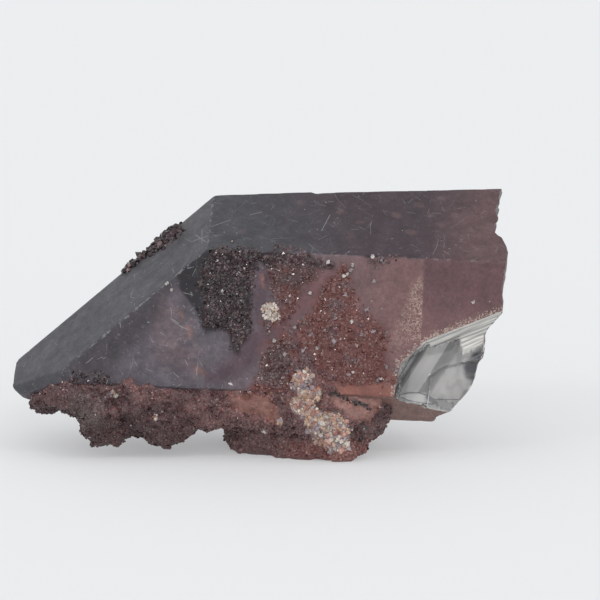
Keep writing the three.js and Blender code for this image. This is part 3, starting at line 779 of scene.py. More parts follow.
def small_crystals(places, normals, widths, heights, lean, generator, prism):
    """Corners and faces of a six-sided point at each place, and the number of each corner's point"""
    count = len(places)
    direction = unit(normals + lean * generator.normal(size=(count, 3)))
    side = unit(np.cross(direction, generator.normal(size=(count, 3))))
    third = np.cross(direction, side)
    turns = np.radians(np.arange(0, 360, 60))[:, None]
    uneven = 1 + POINT_SHAPE["uneven"] * generator.normal(size=(count, 6, 1))
    ring = side[:, None] * np.cos(turns) + third[:, None] * np.sin(turns)
    ring = ring * uneven * widths[:, None, None] / 2
    upward = heights[:, None] * direction
    rings = [places[:, None] + ring - POINT_SHAPE["root"] * upward[:, None]]
    if prism:
        rings.append(rings[0] + prism * (1 + POINT_SHAPE["root"]) * upward[:, None])
    apex = places + upward + POINT_SHAPE["skew"] * widths[:, None] * generator.normal(size=(count, 3))
    corners = np.concatenate([*rings, apex[:, None]], axis=1)
    owner = np.repeat(np.arange(count), corners.shape[1])
    faces = point_faces(len(rings)) + corners.shape[1] * np.arange(count)[:, None, None]
    return corners.reshape(-1, 3), faces.reshape(-1, 3), owner


def druse_object(name, places, normals, widths, heights, colours, generator):
    """Small crystals as one object, with the shape and the material of their crust"""
    crust = CRUSTS[name]
    sizes = (widths, heights, crust["lean"])
    corners, faces, owner = small_crystals(places, normals, *sizes, generator, crust["prism"])
    made = make_object(name, corners, faces, colours[owner])
    made.data.materials.append(grain_material(*crust["material"]))
    return made


# Materials

def node(tree, kind, inputs=None, **settings):
    """A new node with its settings, and with its inputs set or linked"""
    made = tree.nodes.new(kind)
    for name, value in settings.items():
        setattr(made, name, value)
    for name, value in (inputs or {}).items():
        if isinstance(value, bpy.types.NodeSocket):
            tree.links.new(value, made.inputs[name])
        else:
            made.inputs[name].default_value = value
    return made


def new_material(name, settings):
    """A material, its node tree and its main shader with some settings"""
    material = bpy.data.materials.new(name)
    material.use_nodes = True
    shader = material.node_tree.nodes["Principled BSDF"]
    for label, value in settings.items():
        shader.inputs[label].default_value = value
    return material, material.node_tree, shader


def millimetres(tree, stretch=(1, 1, 1)):
    """Places on the object in millimetres"""
    place = node(tree, "ShaderNodeTexCoord").outputs["Object"]
    return vectors(tree, "MULTIPLY", place, tuple(value / MM for value in stretch))


def noise_value(tree, place, scale, detail=4.0, roughness=0.6, distortion=0.0):
    """Smooth noise from 0 to 1 at each place"""
    inputs = {"Vector": place, "Scale": scale, "Detail": detail}
    inputs |= {"Roughness": roughness, "Distortion": distortion}
    return node(tree, "ShaderNodeTexNoise", inputs).outputs["Fac"]


def mapped(tree, value, from_low, from_high, to_low=0.0, to_high=1.0):
    """A value moved smoothly from one range to another"""
    inputs = {"Value": value, 1: from_low, 2: from_high, 3: to_low, 4: to_high}
    return node(tree, "ShaderNodeMapRange", inputs, interpolation_type="SMOOTHSTEP").outputs[0]


def maths(tree, operation, first, second=0.0):
    """One step of arithmetic with two values"""
    return node(tree, "ShaderNodeMath", {0: first, 1: second}, operation=operation).outputs[0]


def times(tree, product, *factors):
    """The product of several values"""
    for factor in factors:
        product = maths(tree, "MULTIPLY", product, factor)
    return product


def vectors(tree, operation, first, second=(0, 0, 0), output="Vector"):
    """One step of arithmetic with two vectors"""
    made = node(tree, "ShaderNodeVectorMath", {0: first, 1: second}, operation=operation)
    return made.outputs[output]


def scaled(tree, vector, factor):
    """A vector or a colour times a number"""
    return node(tree, "ShaderNodeVectorMath", {0: vector, "Scale": factor}, operation="SCALE").outputs[0]


def mixed(tree, amount, first, second, kind="MIX"):
    """Two colours mixed by an amount"""
    inputs = {"Factor": amount, "A": first, "B": second}
    made = node(tree, "ShaderNodeMix", data_type="RGBA", blend_type=kind)
    for name, value in inputs.items():
        socket = next(s for s in made.inputs if s.name == name and s.enabled)
        if isinstance(value, bpy.types.NodeSocket):
            tree.links.new(value, socket)
        else:
            socket.default_value = value
    return next(s for s in made.outputs if s.enabled)


def painted(tree, colour, amount, factor, paint):
    """A colour with paint over it, by an amount times a factor"""
    return mixed(tree, times(tree, amount, factor), colour, paint)


def attribute(tree, name, output="Fac"):
    """The number or colour that the mesh has under a name"""
    return node(tree, "ShaderNodeAttribute", attribute_name=name).outputs[output]


def brightened(tree, colour, value, low, high):
    """A colour times a factor that goes from low to high with a value"""
    return scaled(tree, colour, mapped(tree, value, 0.25, 0.75, low, high))


def thin_lines(tree, place, scale, width, distortion):
    """Thin winding lines, 1 on a line and 0 off it"""
    value = noise_value(tree, place, scale, 2.0, 0.5, distortion)
    away = maths(tree, "ABSOLUTE", maths(tree, "SUBTRACT", value, 0.5))
    return mapped(tree, away, 0.0, width, 1.0, 0.0)


def bumped(tree, shader, height, distance, strength):
    """Gives a shader bumps as high as a distance in millimetres"""
    inputs = {"Height": height, "Distance": distance * MM, "Strength": strength}
    tree.links.new(node(tree, "ShaderNodeBump", inputs).outputs["Normal"], shader.inputs["Normal"])


def measured(tree, place, axis):
    """How far a place lies along a direction"""
    return vectors(tree, "DOT_PRODUCT", place, axis, "Value")


def distance_along(tree, place, direction):
    """How far a place lies along a direction, whichever way"""
    return maths(tree, "ABSOLUTE", measured(tree, place, direction))


def scratches(tree, place, cell, length, width, share):
    """Straight marks in many directions on flat faces, 1 on a mark and 0 off it"""
    normal = node(tree, "ShaderNodeNewGeometry").outputs["True Normal"]
    bend = node(tree, "ShaderNodeTexNoise", {"Vector": place, "Scale": 0.9 / cell, "Detail": 1.0})
    bend = vectors(tree, "MULTIPLY", bend.outputs["Color"], (0.3 * cell, 0.3 * cell, 0.3 * cell))
    bent = vectors(tree, "ADD", place, bend)
    cells = node(tree, "ShaderNodeTexVoronoi", {"Vector": bent, "Scale": 1 / cell})
    offset = vectors(tree, "SUBTRACT", bent, cells.outputs["Position"])
    chance = vectors(tree, "SUBTRACT", cells.outputs["Color"], (0.5, 0.5, 0.5))
    across = vectors(tree, "NORMALIZE", vectors(tree, "CROSS_PRODUCT", normal, chance))
    along = vectors(tree, "CROSS_PRODUCT", normal, across)
    line = mapped(tree, distance_along(tree, offset, across), 0.4 * width, width, 1.0, 0.0)
    ends = mapped(tree, distance_along(tree, offset, along), 0.25 * length, 0.5 * length, 1.0, 0.0)
    drawn = node(tree, "ShaderNodeSeparateColor", {"Color": cells.outputs["Color"]}).outputs["Blue"]
    return times(tree, line, ends, maths(tree, "LESS_THAN", drawn, share))


def specks(tree, place, cell, radius):
    """Small round spots in one cell of two"""
    cells = node(tree, "ShaderNodeTexVoronoi", {"Vector": place, "Scale": 1 / cell})
    spot = mapped(tree, cells.outputs["Distance"], 0.5 * radius / cell, radius / cell, 1.0, 0.0)
    drawn = node(tree, "ShaderNodeSeparateColor", {"Color": cells.outputs["Color"]}).outputs["Red"]
    return times(tree, spot, maths(tree, "LESS_THAN", drawn, 0.5))


def from_edge(tree, place, first, second):
    """Distance from the straight edge between two faces that meet at the shoulder"""
    along = np.cross(FACES[first][1], FACES[second][1]) @ CRYSTAL_AXES
    offset = vectors(tree, "SUBTRACT", place, SHOULDER)
    away = vectors(tree, "CROSS_PRODUCT", offset, along / np.linalg.norm(along))
    return vectors(tree, "LENGTH", away, output="Value")


def front_position(tree, place):
    """A flat vector with the distances along and down the front face"""
    offset = vectors(tree, "SUBTRACT", place, SHOULDER)
    along = measured(tree, offset, -CRYSTAL_AXES[0])
    down = measured(tree, offset, DOWN_FRONT @ CRYSTAL_AXES)
    return node(tree, "ShaderNodeCombineXYZ", {"X": along, "Y": down}).outputs[0]


def stroke(tree, place, start, end, width):
    """1 on a straight line from one place to another, 0 off it"""
    side = np.subtract(end, start)
    offset = vectors(tree, "SUBTRACT", place, start)
    part = node(tree, "ShaderNodeClamp", {"Value": measured(tree, offset, side / (side @ side))}).outputs[0]
    away = vectors(tree, "SUBTRACT", offset, scaled(tree, tuple(side), part))
    return mapped(tree, vectors(tree, "LENGTH", away, output="Value"), 0.4 * width, width, 1.0, 0.0)


def strokes(tree, place, lines):
    """1 on lines of several stretches, each given with its width"""
    drawn = [stroke(tree, place, start, end, width)
             for line, width in lines for start, end in zip(line, line[1:])]
    total = drawn[0]
    for mark in drawn[1:]:
        total = maths(tree, "MAXIMUM", total, mark)
    return total


def rim_distance(tree, flat):
    """How far a place on the front face lies inside the first stretch of the chip's rim, and inside all"""
    insets = []
    for start, across in rim_stretches():
        offset = vectors(tree, "SUBTRACT", flat, (*start, 0))
        insets.append(measured(tree, offset, (*across, 0)))
    nearest = insets[0]
    for inset in insets[1:]:
        nearest = maths(tree, "MINIMUM", nearest, inset)
    return insets[0], nearest


def band_brightness(tree, across):
    """Brightness of the slanting bands, by the distance across them"""
    low, high = CHIP_BANDS[0][0], CHIP_BANDS[-1][0]
    part = maths(tree, "DIVIDE", maths(tree, "SUBTRACT", across, low), high - low)
    bands = node(tree, "ShaderNodeValToRGB", {"Fac": part})
    elements = bands.color_ramp.elements
    elements.remove(elements[1])
    for number, (place, brightness) in enumerate(CHIP_BANDS):
        element = elements.new((place - low) / (high - low)) if number else elements[0]
        element.color = grey(brightness)
    return bands.outputs["Color"]


def chip_colour(tree, flat, top_inset):
    """What shows through the clear corner, as painted internal reflection and shade: slanting bands, stripes
    under the upper rim, and dark lines, some of them a painted shadow
    """
    colour = mixed(tree, attribute(tree, "shade"), (*VEIL_DARK, 1), (*VEIL_REFLECTION_BRIGHT, 1))
    across = measured(tree, flat, (*BAND_ACROSS, 0))
    colour = mixed(tree, attribute(tree, "bands"), colour, band_brightness(tree, across), "MULTIPLY")
    inset = node(tree, "ShaderNodeCombineXYZ", {"X": top_inset, "Y": times(tree, across, 0.05)})
    stripes = mapped(tree, noise_value(tree, inset.outputs[0], 5.0, 3.0), 0.4, 0.6, 0.5, 1.0)
    colour = mixed(tree, attribute(tree, "stripes"), colour, stripes, "MULTIPLY")
    lines = [([(*place, 0) for place in line], width) for line, width in CHIP_LINES]
    return painted(tree, colour, strokes(tree, flat, lines), 0.65, (*VEIL_DARK, 1))


def clouded_tint(tree, place):
    """The skin's tint made uneven, and speckled where it is grainy"""
    colour = attribute(tree, "tint", "Color")
    colour = brightened(tree, colour, noise_value(tree, place, 0.45, 7.0, 0.7), 0.74, 1.26)
    colour = brightened(tree, colour, noise_value(tree, place, 3.2, 5.0, 0.75), 0.8, 1.2)
    speckled = brightened(tree, colour, noise_value(tree, place, 6.5, 2.0), 0.6, 1.45)
    return mixed(tree, attribute(tree, "grainy"), colour, speckled)


def with_fibres(tree, place, colour):
    """Pale winding fibres over a colour"""
    fibres = thin_lines(tree, place, scale=0.5, width=0.01, distortion=1.4)
    patches = mapped(tree, noise_value(tree, place, 0.9, 3.0), 0.47, 0.62)
    fibres = times(tree, fibres, patches, attribute(tree, "fibres"))
    return painted(tree, colour, fibres, 0.45, MARK_PAINT)


def scratch_marks(tree, place):
    """Long and short scratches, 1 on a mark and 0 off it, weaker in some patches"""
    long_marks = scratches(tree, place, cell=3.4, length=3.4, width=0.045, share=0.35)
    short_marks = scratches(tree, place, cell=1.3, length=1.2, width=0.045, share=0.4)
    patches = mapped(tree, noise_value(tree, place, 0.35, 2.0), 0.4, 0.6, 0.25, 1.0)
    return times(tree, maths(tree, "MAXIMUM", long_marks, short_marks), patches, attribute(tree, "fibres"))


def with_worms(tree, place, flat, colour):
    """Pale worm-like lines on the front face, up to a sharp border"""
    worms = thin_lines(tree, place, scale=2.3, width=0.065, distortion=1.5)
    along = measured(tree, flat, (1, 0, 0))
    before_border = mapped(tree, along, WORM_BORDER - 0.04, WORM_BORDER + 0.04, 1.0, 0.0)
    worms = times(tree, worms, attribute(tree, "worms"), before_border)
    return painted(tree, colour, worms, 0.85, WORM_PAINT)


def with_worn_edges(tree, place, colour):
    """Pale wear along the edges that meet at the shoulder"""
    reach = mapped(tree, noise_value(tree, place, 1.1, 6.0, 0.75), 0.42, 0.7, -0.04, 0.26)
    for first, second, strength in WORN_EDGES:
        away = from_edge(tree, place, FACE_NUMBER[first], FACE_NUMBER[second])
        worn = mapped(tree, maths(tree, "SUBTRACT", away, reach), -0.05, 0.05, 1.0, 0.0)
        colour = painted(tree, colour, worn, strength, WEAR_PAINT)
    return colour


def with_dust(tree, place, colour):
    """Fine dust, and a few larger specks"""
    dust = times(tree, specks(tree, place, cell=0.4, radius=0.06), attribute(tree, "fibres"))
    colour = painted(tree, colour, dust, 0.35, DUST_PAINT)
    return painted(tree, colour, specks(tree, place, cell=1.1, radius=0.09), 0.5, DUST_PAINT)


def with_rim_grains(tree, place, inset, colour):
    """Pale grains outside the chip's rim, fewer farther from it"""
    outside = times(tree, inset, -1.0)
    grains = maths(tree, "SUBTRACT", noise_value(tree, place, 6.5, 3.0), times(tree, outside, 0.25))
    near = mapped(tree, outside, 0.5, 0.9, 1.0, 0.0)
    grains = times(tree, mapped(tree, grains, 0.42, 0.5), near, attribute(tree, "rim"))
    return painted(tree, colour, grains, 0.75, RIM_PAINT)


def skin_material():
    """The satin skin of the large crystal, with fibres, scratches, dust and worn edges"""
    material, tree, shader = new_material("quartz_skin", {"IOR": 1.5, "Specular IOR Level": 0.3})
    place = millimetres(tree)
    flat = front_position(tree, place)
    top_inset, inset = rim_distance(tree, flat)
    marks = scratch_marks(tree, place)
    hairs = strokes(tree, place, [(from_crystal(np.array(line)), 0.05) for line in HAIRS])
    colour = with_fibres(tree, place, clouded_tint(tree, place))
    colour = painted(tree, colour, marks, 0.6, MARK_PAINT)
    colour = painted(tree, colour, hairs, 0.5, HAIR_PAINT)
    colour = with_worms(tree, place, flat, colour)
    colour = with_worn_edges(tree, place, colour)
    colour = with_dust(tree, place, colour)
    colour = with_rim_grains(tree, place, inset, colour)
    # Inside the chip, the painted reflection and shade of what shows through the clear corner
    in_chip = times(tree, attribute(tree, "chip"), mapped(tree, inset, -0.01, 0.02))
    colour = mixed(tree, in_chip, colour, chip_colour(tree, flat, top_inset))
    tree.links.new(colour, shader.inputs["Base Color"])
    satin = mapped(tree, noise_value(tree, place, 1.1, 4.0), 0.3, 0.7, 0.36, 0.52)
    tree.links.new(satin, shader.inputs["Roughness"])
    height = maths(tree, "ADD", noise_value(tree, place, 7.0, 5.0), times(tree, marks, 0.5))
    ripples = times(tree, noise_value(tree, place, 1.6, 5.0, 0.65), attribute(tree, "broken"), 9.0)
    bumped(tree, shader, maths(tree, "ADD", height, ripples), 0.03, 0.6)
    return material


def grain_material(name, roughness, ior):
    """Small glossy crystals, each with its own tint"""
    material, tree, shader = new_material(name, {"IOR": ior})
    place = millimetres(tree)
    colour = attribute(tree, "tint", "Color")
    colour = brightened(tree, colour, noise_value(tree, place, 4.0, 4.0), 0.75, 1.25)
    tree.links.new(colour, shader.inputs["Base Color"])
    gloss = mapped(tree, noise_value(tree, place, 2.0, 2.0), 0.35, 0.65, roughness, roughness + 0.1)
    tree.links.new(gloss, shader.inputs["Roughness"])
    bumped(tree, shader, noise_value(tree, place, 9.0, 3.0), 0.01, 0.2)
    return material


def matrix_material():
    """The rough stone between the small crystals of the base"""
    material, tree, shader = new_material("matrix", {"Roughness": 0.55, "IOR": 1.6})
    place = millimetres(tree)
    colour = attribute(tree, "tint", "Color")
    colour = brightened(tree, colour, noise_value(tree, place, 2.2, 6.0, 0.8), 0.5, 1.4)
    tree.links.new(colour, shader.inputs["Base Color"])
    bumped(tree, shader, noise_value(tree, place, 3.5, 6.0, 0.7), 0.12, 0.9)
    return material


def clear_material():
    """Clear quartz, a little grey"""
    settings = {"Transmission Weight": 1, "Roughness": 0.03, "IOR": QUARTZ_IOR}
    material, tree, shader = new_material("clear_quartz", {"Base Color": CLEAR_TINT, **settings})
    place = millimetres(tree, (1, 1, 0.35))
    bumped(tree, shader, noise_value(tree, place, 2.5, 4.0), 0.05, 0.5)
    inputs = {"Color": DEPTH_TINT, "Density": TINT_DENSITY}
    absorption = node(tree, "ShaderNodeVolumeAbsorption", inputs)
    output = tree.nodes["Material Output"]
    tree.links.new(absorption.outputs[0], output.inputs["Volume"])
    return material


def floor_material():
    """White sheet, lit a little from below so that shadows stay pale"""
    glow = {"Emission Color": DAYLIGHT, "Emission Strength": FLOOR["glow"]}
    paper = {"Base Color": FLOOR["colour"], "Roughness": 0.9, "Specular IOR Level": 0.1}
    return new_material("floor", {**paper, **glow})[0]


# Colours of the large crystal

def patched(colour, tone, places, outline, ragged, border, strength=1):
    """A colour with another inside an outline, across a ragged border"""
    return blend(colour, tone, strength * ramp(inside_outline(places, outline) + ragged, *border))


def front_colours(places, spots):
    """Colours of the front face, at places along and down"""
    along, down = places.T
    fine = flat_noise(places, 0.35, SEED + 9)
    colour = blend(SKIN_FRONT, SKIN_RED, ramp(along + 0.35 * down, 3, 22))
    colour = blend(colour, SKIN_DEEP, ramp(along, WORM_BORDER - 0.2, WORM_BORDER + 0.2) * ramp(down, 9, 2))
    colour = patched(colour, BLUE_BLACK, places, DARK_TIP_AREA, 0.7 * spots + 0.3 * fine, (-1, 0.8), 0.5)
    warmth = 0.3 * (1 + 0.5 * fine)
    colour = patched(colour, WARM, places, WARM_AREA, 0.8 * spots, (-1.2, 1.2), warmth)
    colour = colour * (1 + 0.15 * (spots + fine) * ramp(along, 8, 4))[:, None]
    colour = patched(colour, BLUE_BLACK, places, BLUE_BLACK_AREA, 0.1 * spots, (-0.15, 0.3), 0.85)
    for tone, outline in SMOOTH_AREAS:
        tone = blend(SMOOTH_PURPLE, tone, ramp(along, 4.5, 10))
        colour = patched(colour, tone, places, outline, 0.4 * spots, (-0.6, 0.6), 0.8)
    for line, width in ORANGE_STREAKS:
        streak = np.exp(-(from_line(places, line) / width) ** 2) * (0.6 + 0.4 * fine)
        colour = blend(colour, ORANGE, 0.7 * streak)
    colour = patched(colour, DARK_GRAINS, places, DARK_DRUSE, 0.3 * spots, (-0.3, 0.3))
    red = red_patch_colours(places)
    for outline in (MIDDLE_DRUSE, RED_DRUSE):
        colour = patched(colour, red, places, outline, 0.4 * spots, (-0.5, 0.4))
    colour = patched(colour, ORANGE_MATRIX, places, BRICK_BAND, 0.4 * spots, (-0.4, 0.4), 0.8)
    # Painted shadow along the notch at the upper front edge
    return blend(colour, DARK_GRAINS, ramp(from_line(places, NOTCH_SHADOW), 0.18, 0.06))


def red_patch_colours(places):
    """Red-brown and lilac blotches of the druse on the front face"""
    along, down = places.T
    redness = flat_noise(places, 1.3, SEED + 7) + 0.6 * flat_noise(places, 0.5, SEED + 8)
    redness += 0.08 * (along - 8)
    colour = blend(LILAC_BROWN, RED_GRAINS, ramp(redness, -0.8, 0.3))
    colour = blend(colour, BROWN_GRAINS, 0.5 * ramp(down, 6, 2) * ramp(along, 13, 11))
    return patched(colour, BROWN_GRAINS, places, BROWN_DRUSE, 0.5 * redness, (-0.5, 0.5), 0.7)


def chip_zones(places):
    """How strongly the striped band, and the slanting bands, show at places in the chip"""
    top = rim_inset(places)[:, 0]
    striped = np.maximum(ramp(top, 0.6, 0.4), ramp(inside_outline(places, CHIP_TOP_BAND), -0.1, 0.1))
    facets = [inside_outline(places, outline) for outline, _ in CHIP_FACETS]
    return striped, (1 - striped) * (np.max(facets, axis=0) < 0)


def clear_shades(places):
    """Brightness of what shows through the clear corner, from 0 to 1: painted internal reflection, one facet
    painted lit and one shaded, and painted shade along the chip's left rim
    """
    striped, _ = chip_zones(places)
    flakes = flat_noise(places, 0.8, SEED + 13) + 0.8 * flat_noise(places, 0.35, SEED + 14)
    flakes *= ramp(places @ BAND_ACROSS, 26.4, 27)
    shade = 0.85 + 0.25 * flakes - 0.8 * ramp(inside_outline(places, CHIP_DARK), -0.25, 0.25)
    # Painted shade along the chip's left rim
    shade -= 0.4 * ramp(rim_inset(places)[:, 1:].min(axis=1), 0.6, 0.2)
    # Facets painted lit and shaded by their brightness, with painted shade just inside their borders
    for outline, brightness in CHIP_FACETS:
        inside = inside_outline(places, outline)
        shade = np.where(inside > 0, brightness - 0.3 * ramp(inside, 0.16, 0), shade)
    # Painted light on the bright facet, fading towards its lower left
    shade -= 0.25 * ramp(places[:, 1], 10.5, 13.3) * ramp(places @ BAND_ACROSS, 26, 25)
    return np.clip(shade * (1 - striped) + 0.85 * striped, 0, 1)


def broken_colours(local, spots, clouds):
    """Colours of the break: stains, painted shade that makes its shells redder and darker where deep,
    painted highlights on the ridges between them, and painted light, paler where it faces up and darker
    where it faces down
    """
    shell_depth, from_ridge = break_shells(local)
    # Random stains, with painted shade that reddens and darkens the deep middles of the shells
    stain = clouds + 0.6 * spots + 0.5 * shell_depth
    colour = blend(BREAK_GREY, SKIN_RED, ramp(stain, -0.3, 1.2))
    # Painted highlight, paler on the ridges between shells
    colour = blend(colour, BREAK_RIDGE_HIGHLIGHT, 0.3 * ramp(from_ridge, 0.1, 0) * ramp(spots, -0.3, 0.4))
    # Painted light and shade: brighter where the break faces up, darker where it faces down
    return colour * (1 + 0.7 * break_slope(local)[:, None])


def crystal_colours(local, face):
    """Colours of the large crystal's corners, by the face that each lies on"""
    places, _ = on_front(local)
    along = -local[:, 0]
    spots = noise(local, 0.7, SEED + 1)
    clouds = noise(local, 3.5, SEED + 2)
    colour = blend(SKIN_GREY, SKIN_PURPLE, ramp(along + 1.5 * clouds - 0.5 * places[:, 1], 3, 17))
    colour = blend(colour, SKIN_RED, ramp(along + clouds, 20, 29) * 0.55)
    smudges = [np.linalg.norm(local[:, :2] - (-x, y), axis=1) for x, y in TOP_SMUDGES]
    smudged = np.isin(face, (TOP_FACE, BIG_END))
    colour = blend(colour, WARM, 0.4 * smudged * ramp(np.min(smudges, axis=0) + 0.3 * spots, 0.7, 0.1))
    big_end = face == BIG_END
    # The big end face painted lighter, partly standing for the light that falls on it
    colour[big_end] = blend(colour[big_end], LIT_END_GREY, 0.8 + 0.2 * clouds[big_end])
    under = np.isin(face, [FACE_NUMBER["prism", turn] for turn in (120, 180, 240)])
    colour[under] = blend(SKIN_FRONT, SKIN_BROWN, ramp(along[under] + clouds[under], -4, 12))
    front = np.isin(face, (FRONT_FACE, CHIP_FACE))
    colour[front] = front_colours(places[front], spots[front])
    broken = face == BREAK_FACE
    colour[broken] = broken_colours(local[broken], spots[broken], clouds[broken])
    return colour


def nearest_face(local):
    """The number of the face that each corner lies on"""
    return np.column_stack([face_distances(local), break_distance(local), chip_recess(local)]).argmax(axis=1)


def on_back(local, turn):
    """Where points lie on a face at the back: along, and down from its upper edge"""
    next_turn = (turn + 60) % 360
    normals = np.array([prism_normal(turn), prism_normal(next_turn)])
    edge = np.linalg.solve(normals[:, 1:], [PRISM_FACES[turn][0], PRISM_FACES[next_turn][0]])
    downward = np.cross([1, 0, 0], prism_normal(turn))
    return np.stack([-local[:, 0], (local[:, 1:] - edge) @ downward[1:]], axis=1)


def ridge_cover(local):
    """How strongly small crystals cover a place on the ridge behind the big end face"""
    distances = face_distances(local)
    behind, big = distances[:, FACE_NUMBER["end", 300]], distances[:, BIG_END]
    tip = local[:, 0]
    reach = RIDGE["width"] + RIDGE["spill"] * ramp(tip, RIDGE["spill_to"], RIDGE["spill_to"] - 1.5)
    ends = np.minimum(tip - RIDGE["from"], RIDGE["to"] - tip)
    return np.minimum(np.minimum(behind + reach, big + 0.8), ends)


def druse_zone(local, face):
    """How strongly small crystals cover each place on the large crystal, and which are dark"""
    places, _ = on_front(local)
    ragged = 0.4 * noise(local, 0.8, SEED + 3) + 0.5 * noise(local, 2, SEED + 5)
    front = np.isin(face, (FRONT_FACE, TOP_FACE))
    dark = np.maximum(inside_outline(places, DARK_DRUSE) + ragged, inside_outline(places, EDGE_PIT))
    red = np.maximum(inside_outline(places, MIDDLE_DRUSE), inside_outline(places, RED_DRUSE)) + ragged
    dark = np.maximum(dark, inside_outline(places, LOW_EDGE_GRAINS))
    on_top = 0.35 * (face == TOP_FACE)
    covered = np.where(front, np.maximum(dark, red) - on_top, -1)
    covered = np.maximum(covered, ridge_cover(local) + ragged - 0.2)
    for turn, outline in BACK_PATCHES.items():
        back = inside_outline(on_back(local, turn), outline) + ragged
        covered = np.maximum(covered, np.where(face == FACE_NUMBER["prism", turn], back, -1))
    return covered, ~(front & (red > dark))


def swelling(local, face):
    """How far the large crystal's surface swells under its patches of small crystals"""
    covered, _ = druse_zone(local, face)
    _, down = on_front(local)[0].T
    height = ramp(covered, -0.1, 0.5) * (0.16 + 0.14 * noise(local, 1.1, SEED + 4))
    return height * (1 + ramp(np.abs(down - 0.2), 1, 0.2))


def skin_numbers(local, face):
    """How strongly each kind of mark shows at the corners of the large crystal, from 0 to 1"""
    places, _ = on_front(local)
    along = places[:, 0]
    front = face == FRONT_FACE
    worms = ramp(inside_outline(places, WORM_AREA), -0.3, 0.4) * ramp(along, 17, WORM_BORDER)
    tip = ramp(inside_outline(places, DARK_TIP_AREA), -1.5, 0.5)
    striped, slanting = chip_zones(places)
    chip = (face == CHIP_FACE) | (front & (rim_inset(places).min(axis=1) > -0.4))
    return {
        "fibres": np.where(front, 0.12 + 0.88 * np.maximum(tip, ramp(along, 6, -1)), 0.6),
        "chip": chip,
        "shade": clear_shades(places),
        "stripes": striped,
        "bands": slanting,
        "worms": np.where(front, worms, 0),
        "rim": front,
        "grainy": face == UNDER_FACE,
        "broken": face == BREAK_FACE,
    }


def large_crystal():
    """The large crystal's body, with low swellings under its patches of small crystals"""
    corners, faces = contour(dark_crystal, *widened(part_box("quartz_crystal")), CRYSTAL_CELL)
    local = to_crystal(corners)
    face = nearest_face(local)
    corners = corners + corner_normals(corners, faces) * swelling(local, face)[:, None]
    colours = crystal_colours(local, face)
    body = make_object("large_crystal", corners, faces, colours, skin_numbers(local, face))
    body.data.materials.append(skin_material())
    body.data.shade_smooth()
    body.data.set_sharp_from_angle(angle=np.radians(SHARP_FROM["crystal"]))
    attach(body, "root")
    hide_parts("quartz_crystal")
    return corners, faces


def clear_corner_piece():
    """The clear quartz in the chip"""
    rim = np.array(CHIP_RIM)
    along = (rim[:, 0].min(), rim[:, 0].max() + CLEAR_BOX["past_rim"])
    down = (rim[:, 1].min(), FRONT_HEIGHT + CLEAR_BOX["below"])
    ways = itertools.product(along, down, (0, -CLEAR_BOX["behind"]), (0, -CLEAR_BOX["under"]))
    box = from_crystal(np.array([(-a, *(d * DOWN_FRONT[1:] + (back, low))) for a, d, back, low in ways]))
    low, high = box.min(axis=0) - BOX_MARGIN, box.max(axis=0) + BOX_MARGIN
    corners, faces = contour(clear_corner, low, high, CLEAR_CELL)
    piece = make_object("clear_corner", corners, faces)
    piece.data.materials.append(clear_material())
    piece.data.shade_smooth()
    piece.data.set_sharp_from_angle(angle=np.radians(SHARP_FROM["clear"]))
    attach(piece, "root")


def crystal_druse(corners, faces):
    """Small crystals in the patches on the large crystal"""
    generator = np.random.default_rng(SEED)

    def covered(points):
        """Which places lie in a patch, a few stray ones past its border too"""
        local = to_crystal(points)
        stray = 0.5 * generator.random(len(points)) ** 4
        thinning = generator.uniform(-0.3, 0.3, len(points)) + stray
        return druse_zone(local, nearest_face(local))[0] + thinning > 0.05

    crust = CRUSTS["crystal_druse"]
    places, normals = scatter(corners, faces, crust["spacing"], generator, covered)
    local = to_crystal(places)
    _, dark = druse_zone(local, nearest_face(local))
    count = len(places)
    widths = generator.uniform(*crust["widths"], count)
    heights = widths * generator.uniform(*crust["heights"], count) * np.where(dark, 1, 0.65)
    shade = generator.uniform(0.65, 1.4, (count, 1)) * (1 + 0.4 * noise(local, 1.5, SEED + 6)[:, None])
    mixed_in = np.where(generator.random((count, 1)) < 0.4, BROWN_GRAINS, DARK_GRAINS)
    mixed_in = blend(mixed_in, LILAC_BROWN, 0.6 * ramp(-local[:, 0], 5, 9))
    shade = np.where(dark[:, None], shade, 0.7 + 0.3 * shade)
    colours = np.where(dark[:, None], mixed_in, red_patch_colours(on_front(local)[0])) * shade
    druse = druse_object("crystal_druse", places, normals, widths, heights, colours, generator)
    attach(druse, "root")


def ridge_druse(corners, faces):
    """Larger stubby crystals along the ridge behind the big end face"""
    generator = np.random.default_rng(SEED + 3)

    def covered(points):
        """Which places lie on the ridge, across a ragged border"""
        return ridge_cover(to_crystal(points)) + 0.15 * generator.normal(size=len(points)) > 0

    crust = CRUSTS["ridge_druse"]
    places, normals = scatter(corners, faces, crust["spacing"], generator, covered)
    count = len(places)
    toward_tip = ramp(to_crystal(places)[:, 0], RIDGE["to"] - 2.5, RIDGE["to"])
    widths = generator.uniform(*crust["widths"], count) * (1 + 0.1 * toward_tip)
    heights = widths * generator.uniform(*crust["heights"], count) * (1 + 0.6 * toward_tip)
    pale = (generator.random(count) < 0.05 + 0.4 * toward_tip)[:, None]
    brown = blend(DARK_GRAINS, BROWN_GRAINS, generator.random(count))
    colours = np.where(pale, PINK_GRAINS, brown) * generator.uniform(0.6, 1.1, (count, 1))
    druse = druse_object("ridge_druse", places, normals, widths, heights, colours, generator)
    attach(druse, "root")


def front_places(middle, radius, count, generator):
    """Random places round one on the front face, on a low dome, in the model's frame"""
    turns = generator.uniform(0, 2 * np.pi, count)
    away = radius * generator.random(count) ** 0.7
    along = middle[0] + away * np.cos(turns)
    down = middle[1] + away * np.sin(turns)
    height = TUFT_DOME["top"] - TUFT_DOME["drop"] * (away / radius) ** 2
    on_face = np.outer(down, DOWN_FRONT) - np.outer(along, [1, 0, 0])
    return from_crystal(on_face + height[:, None] * prism_normal(60))


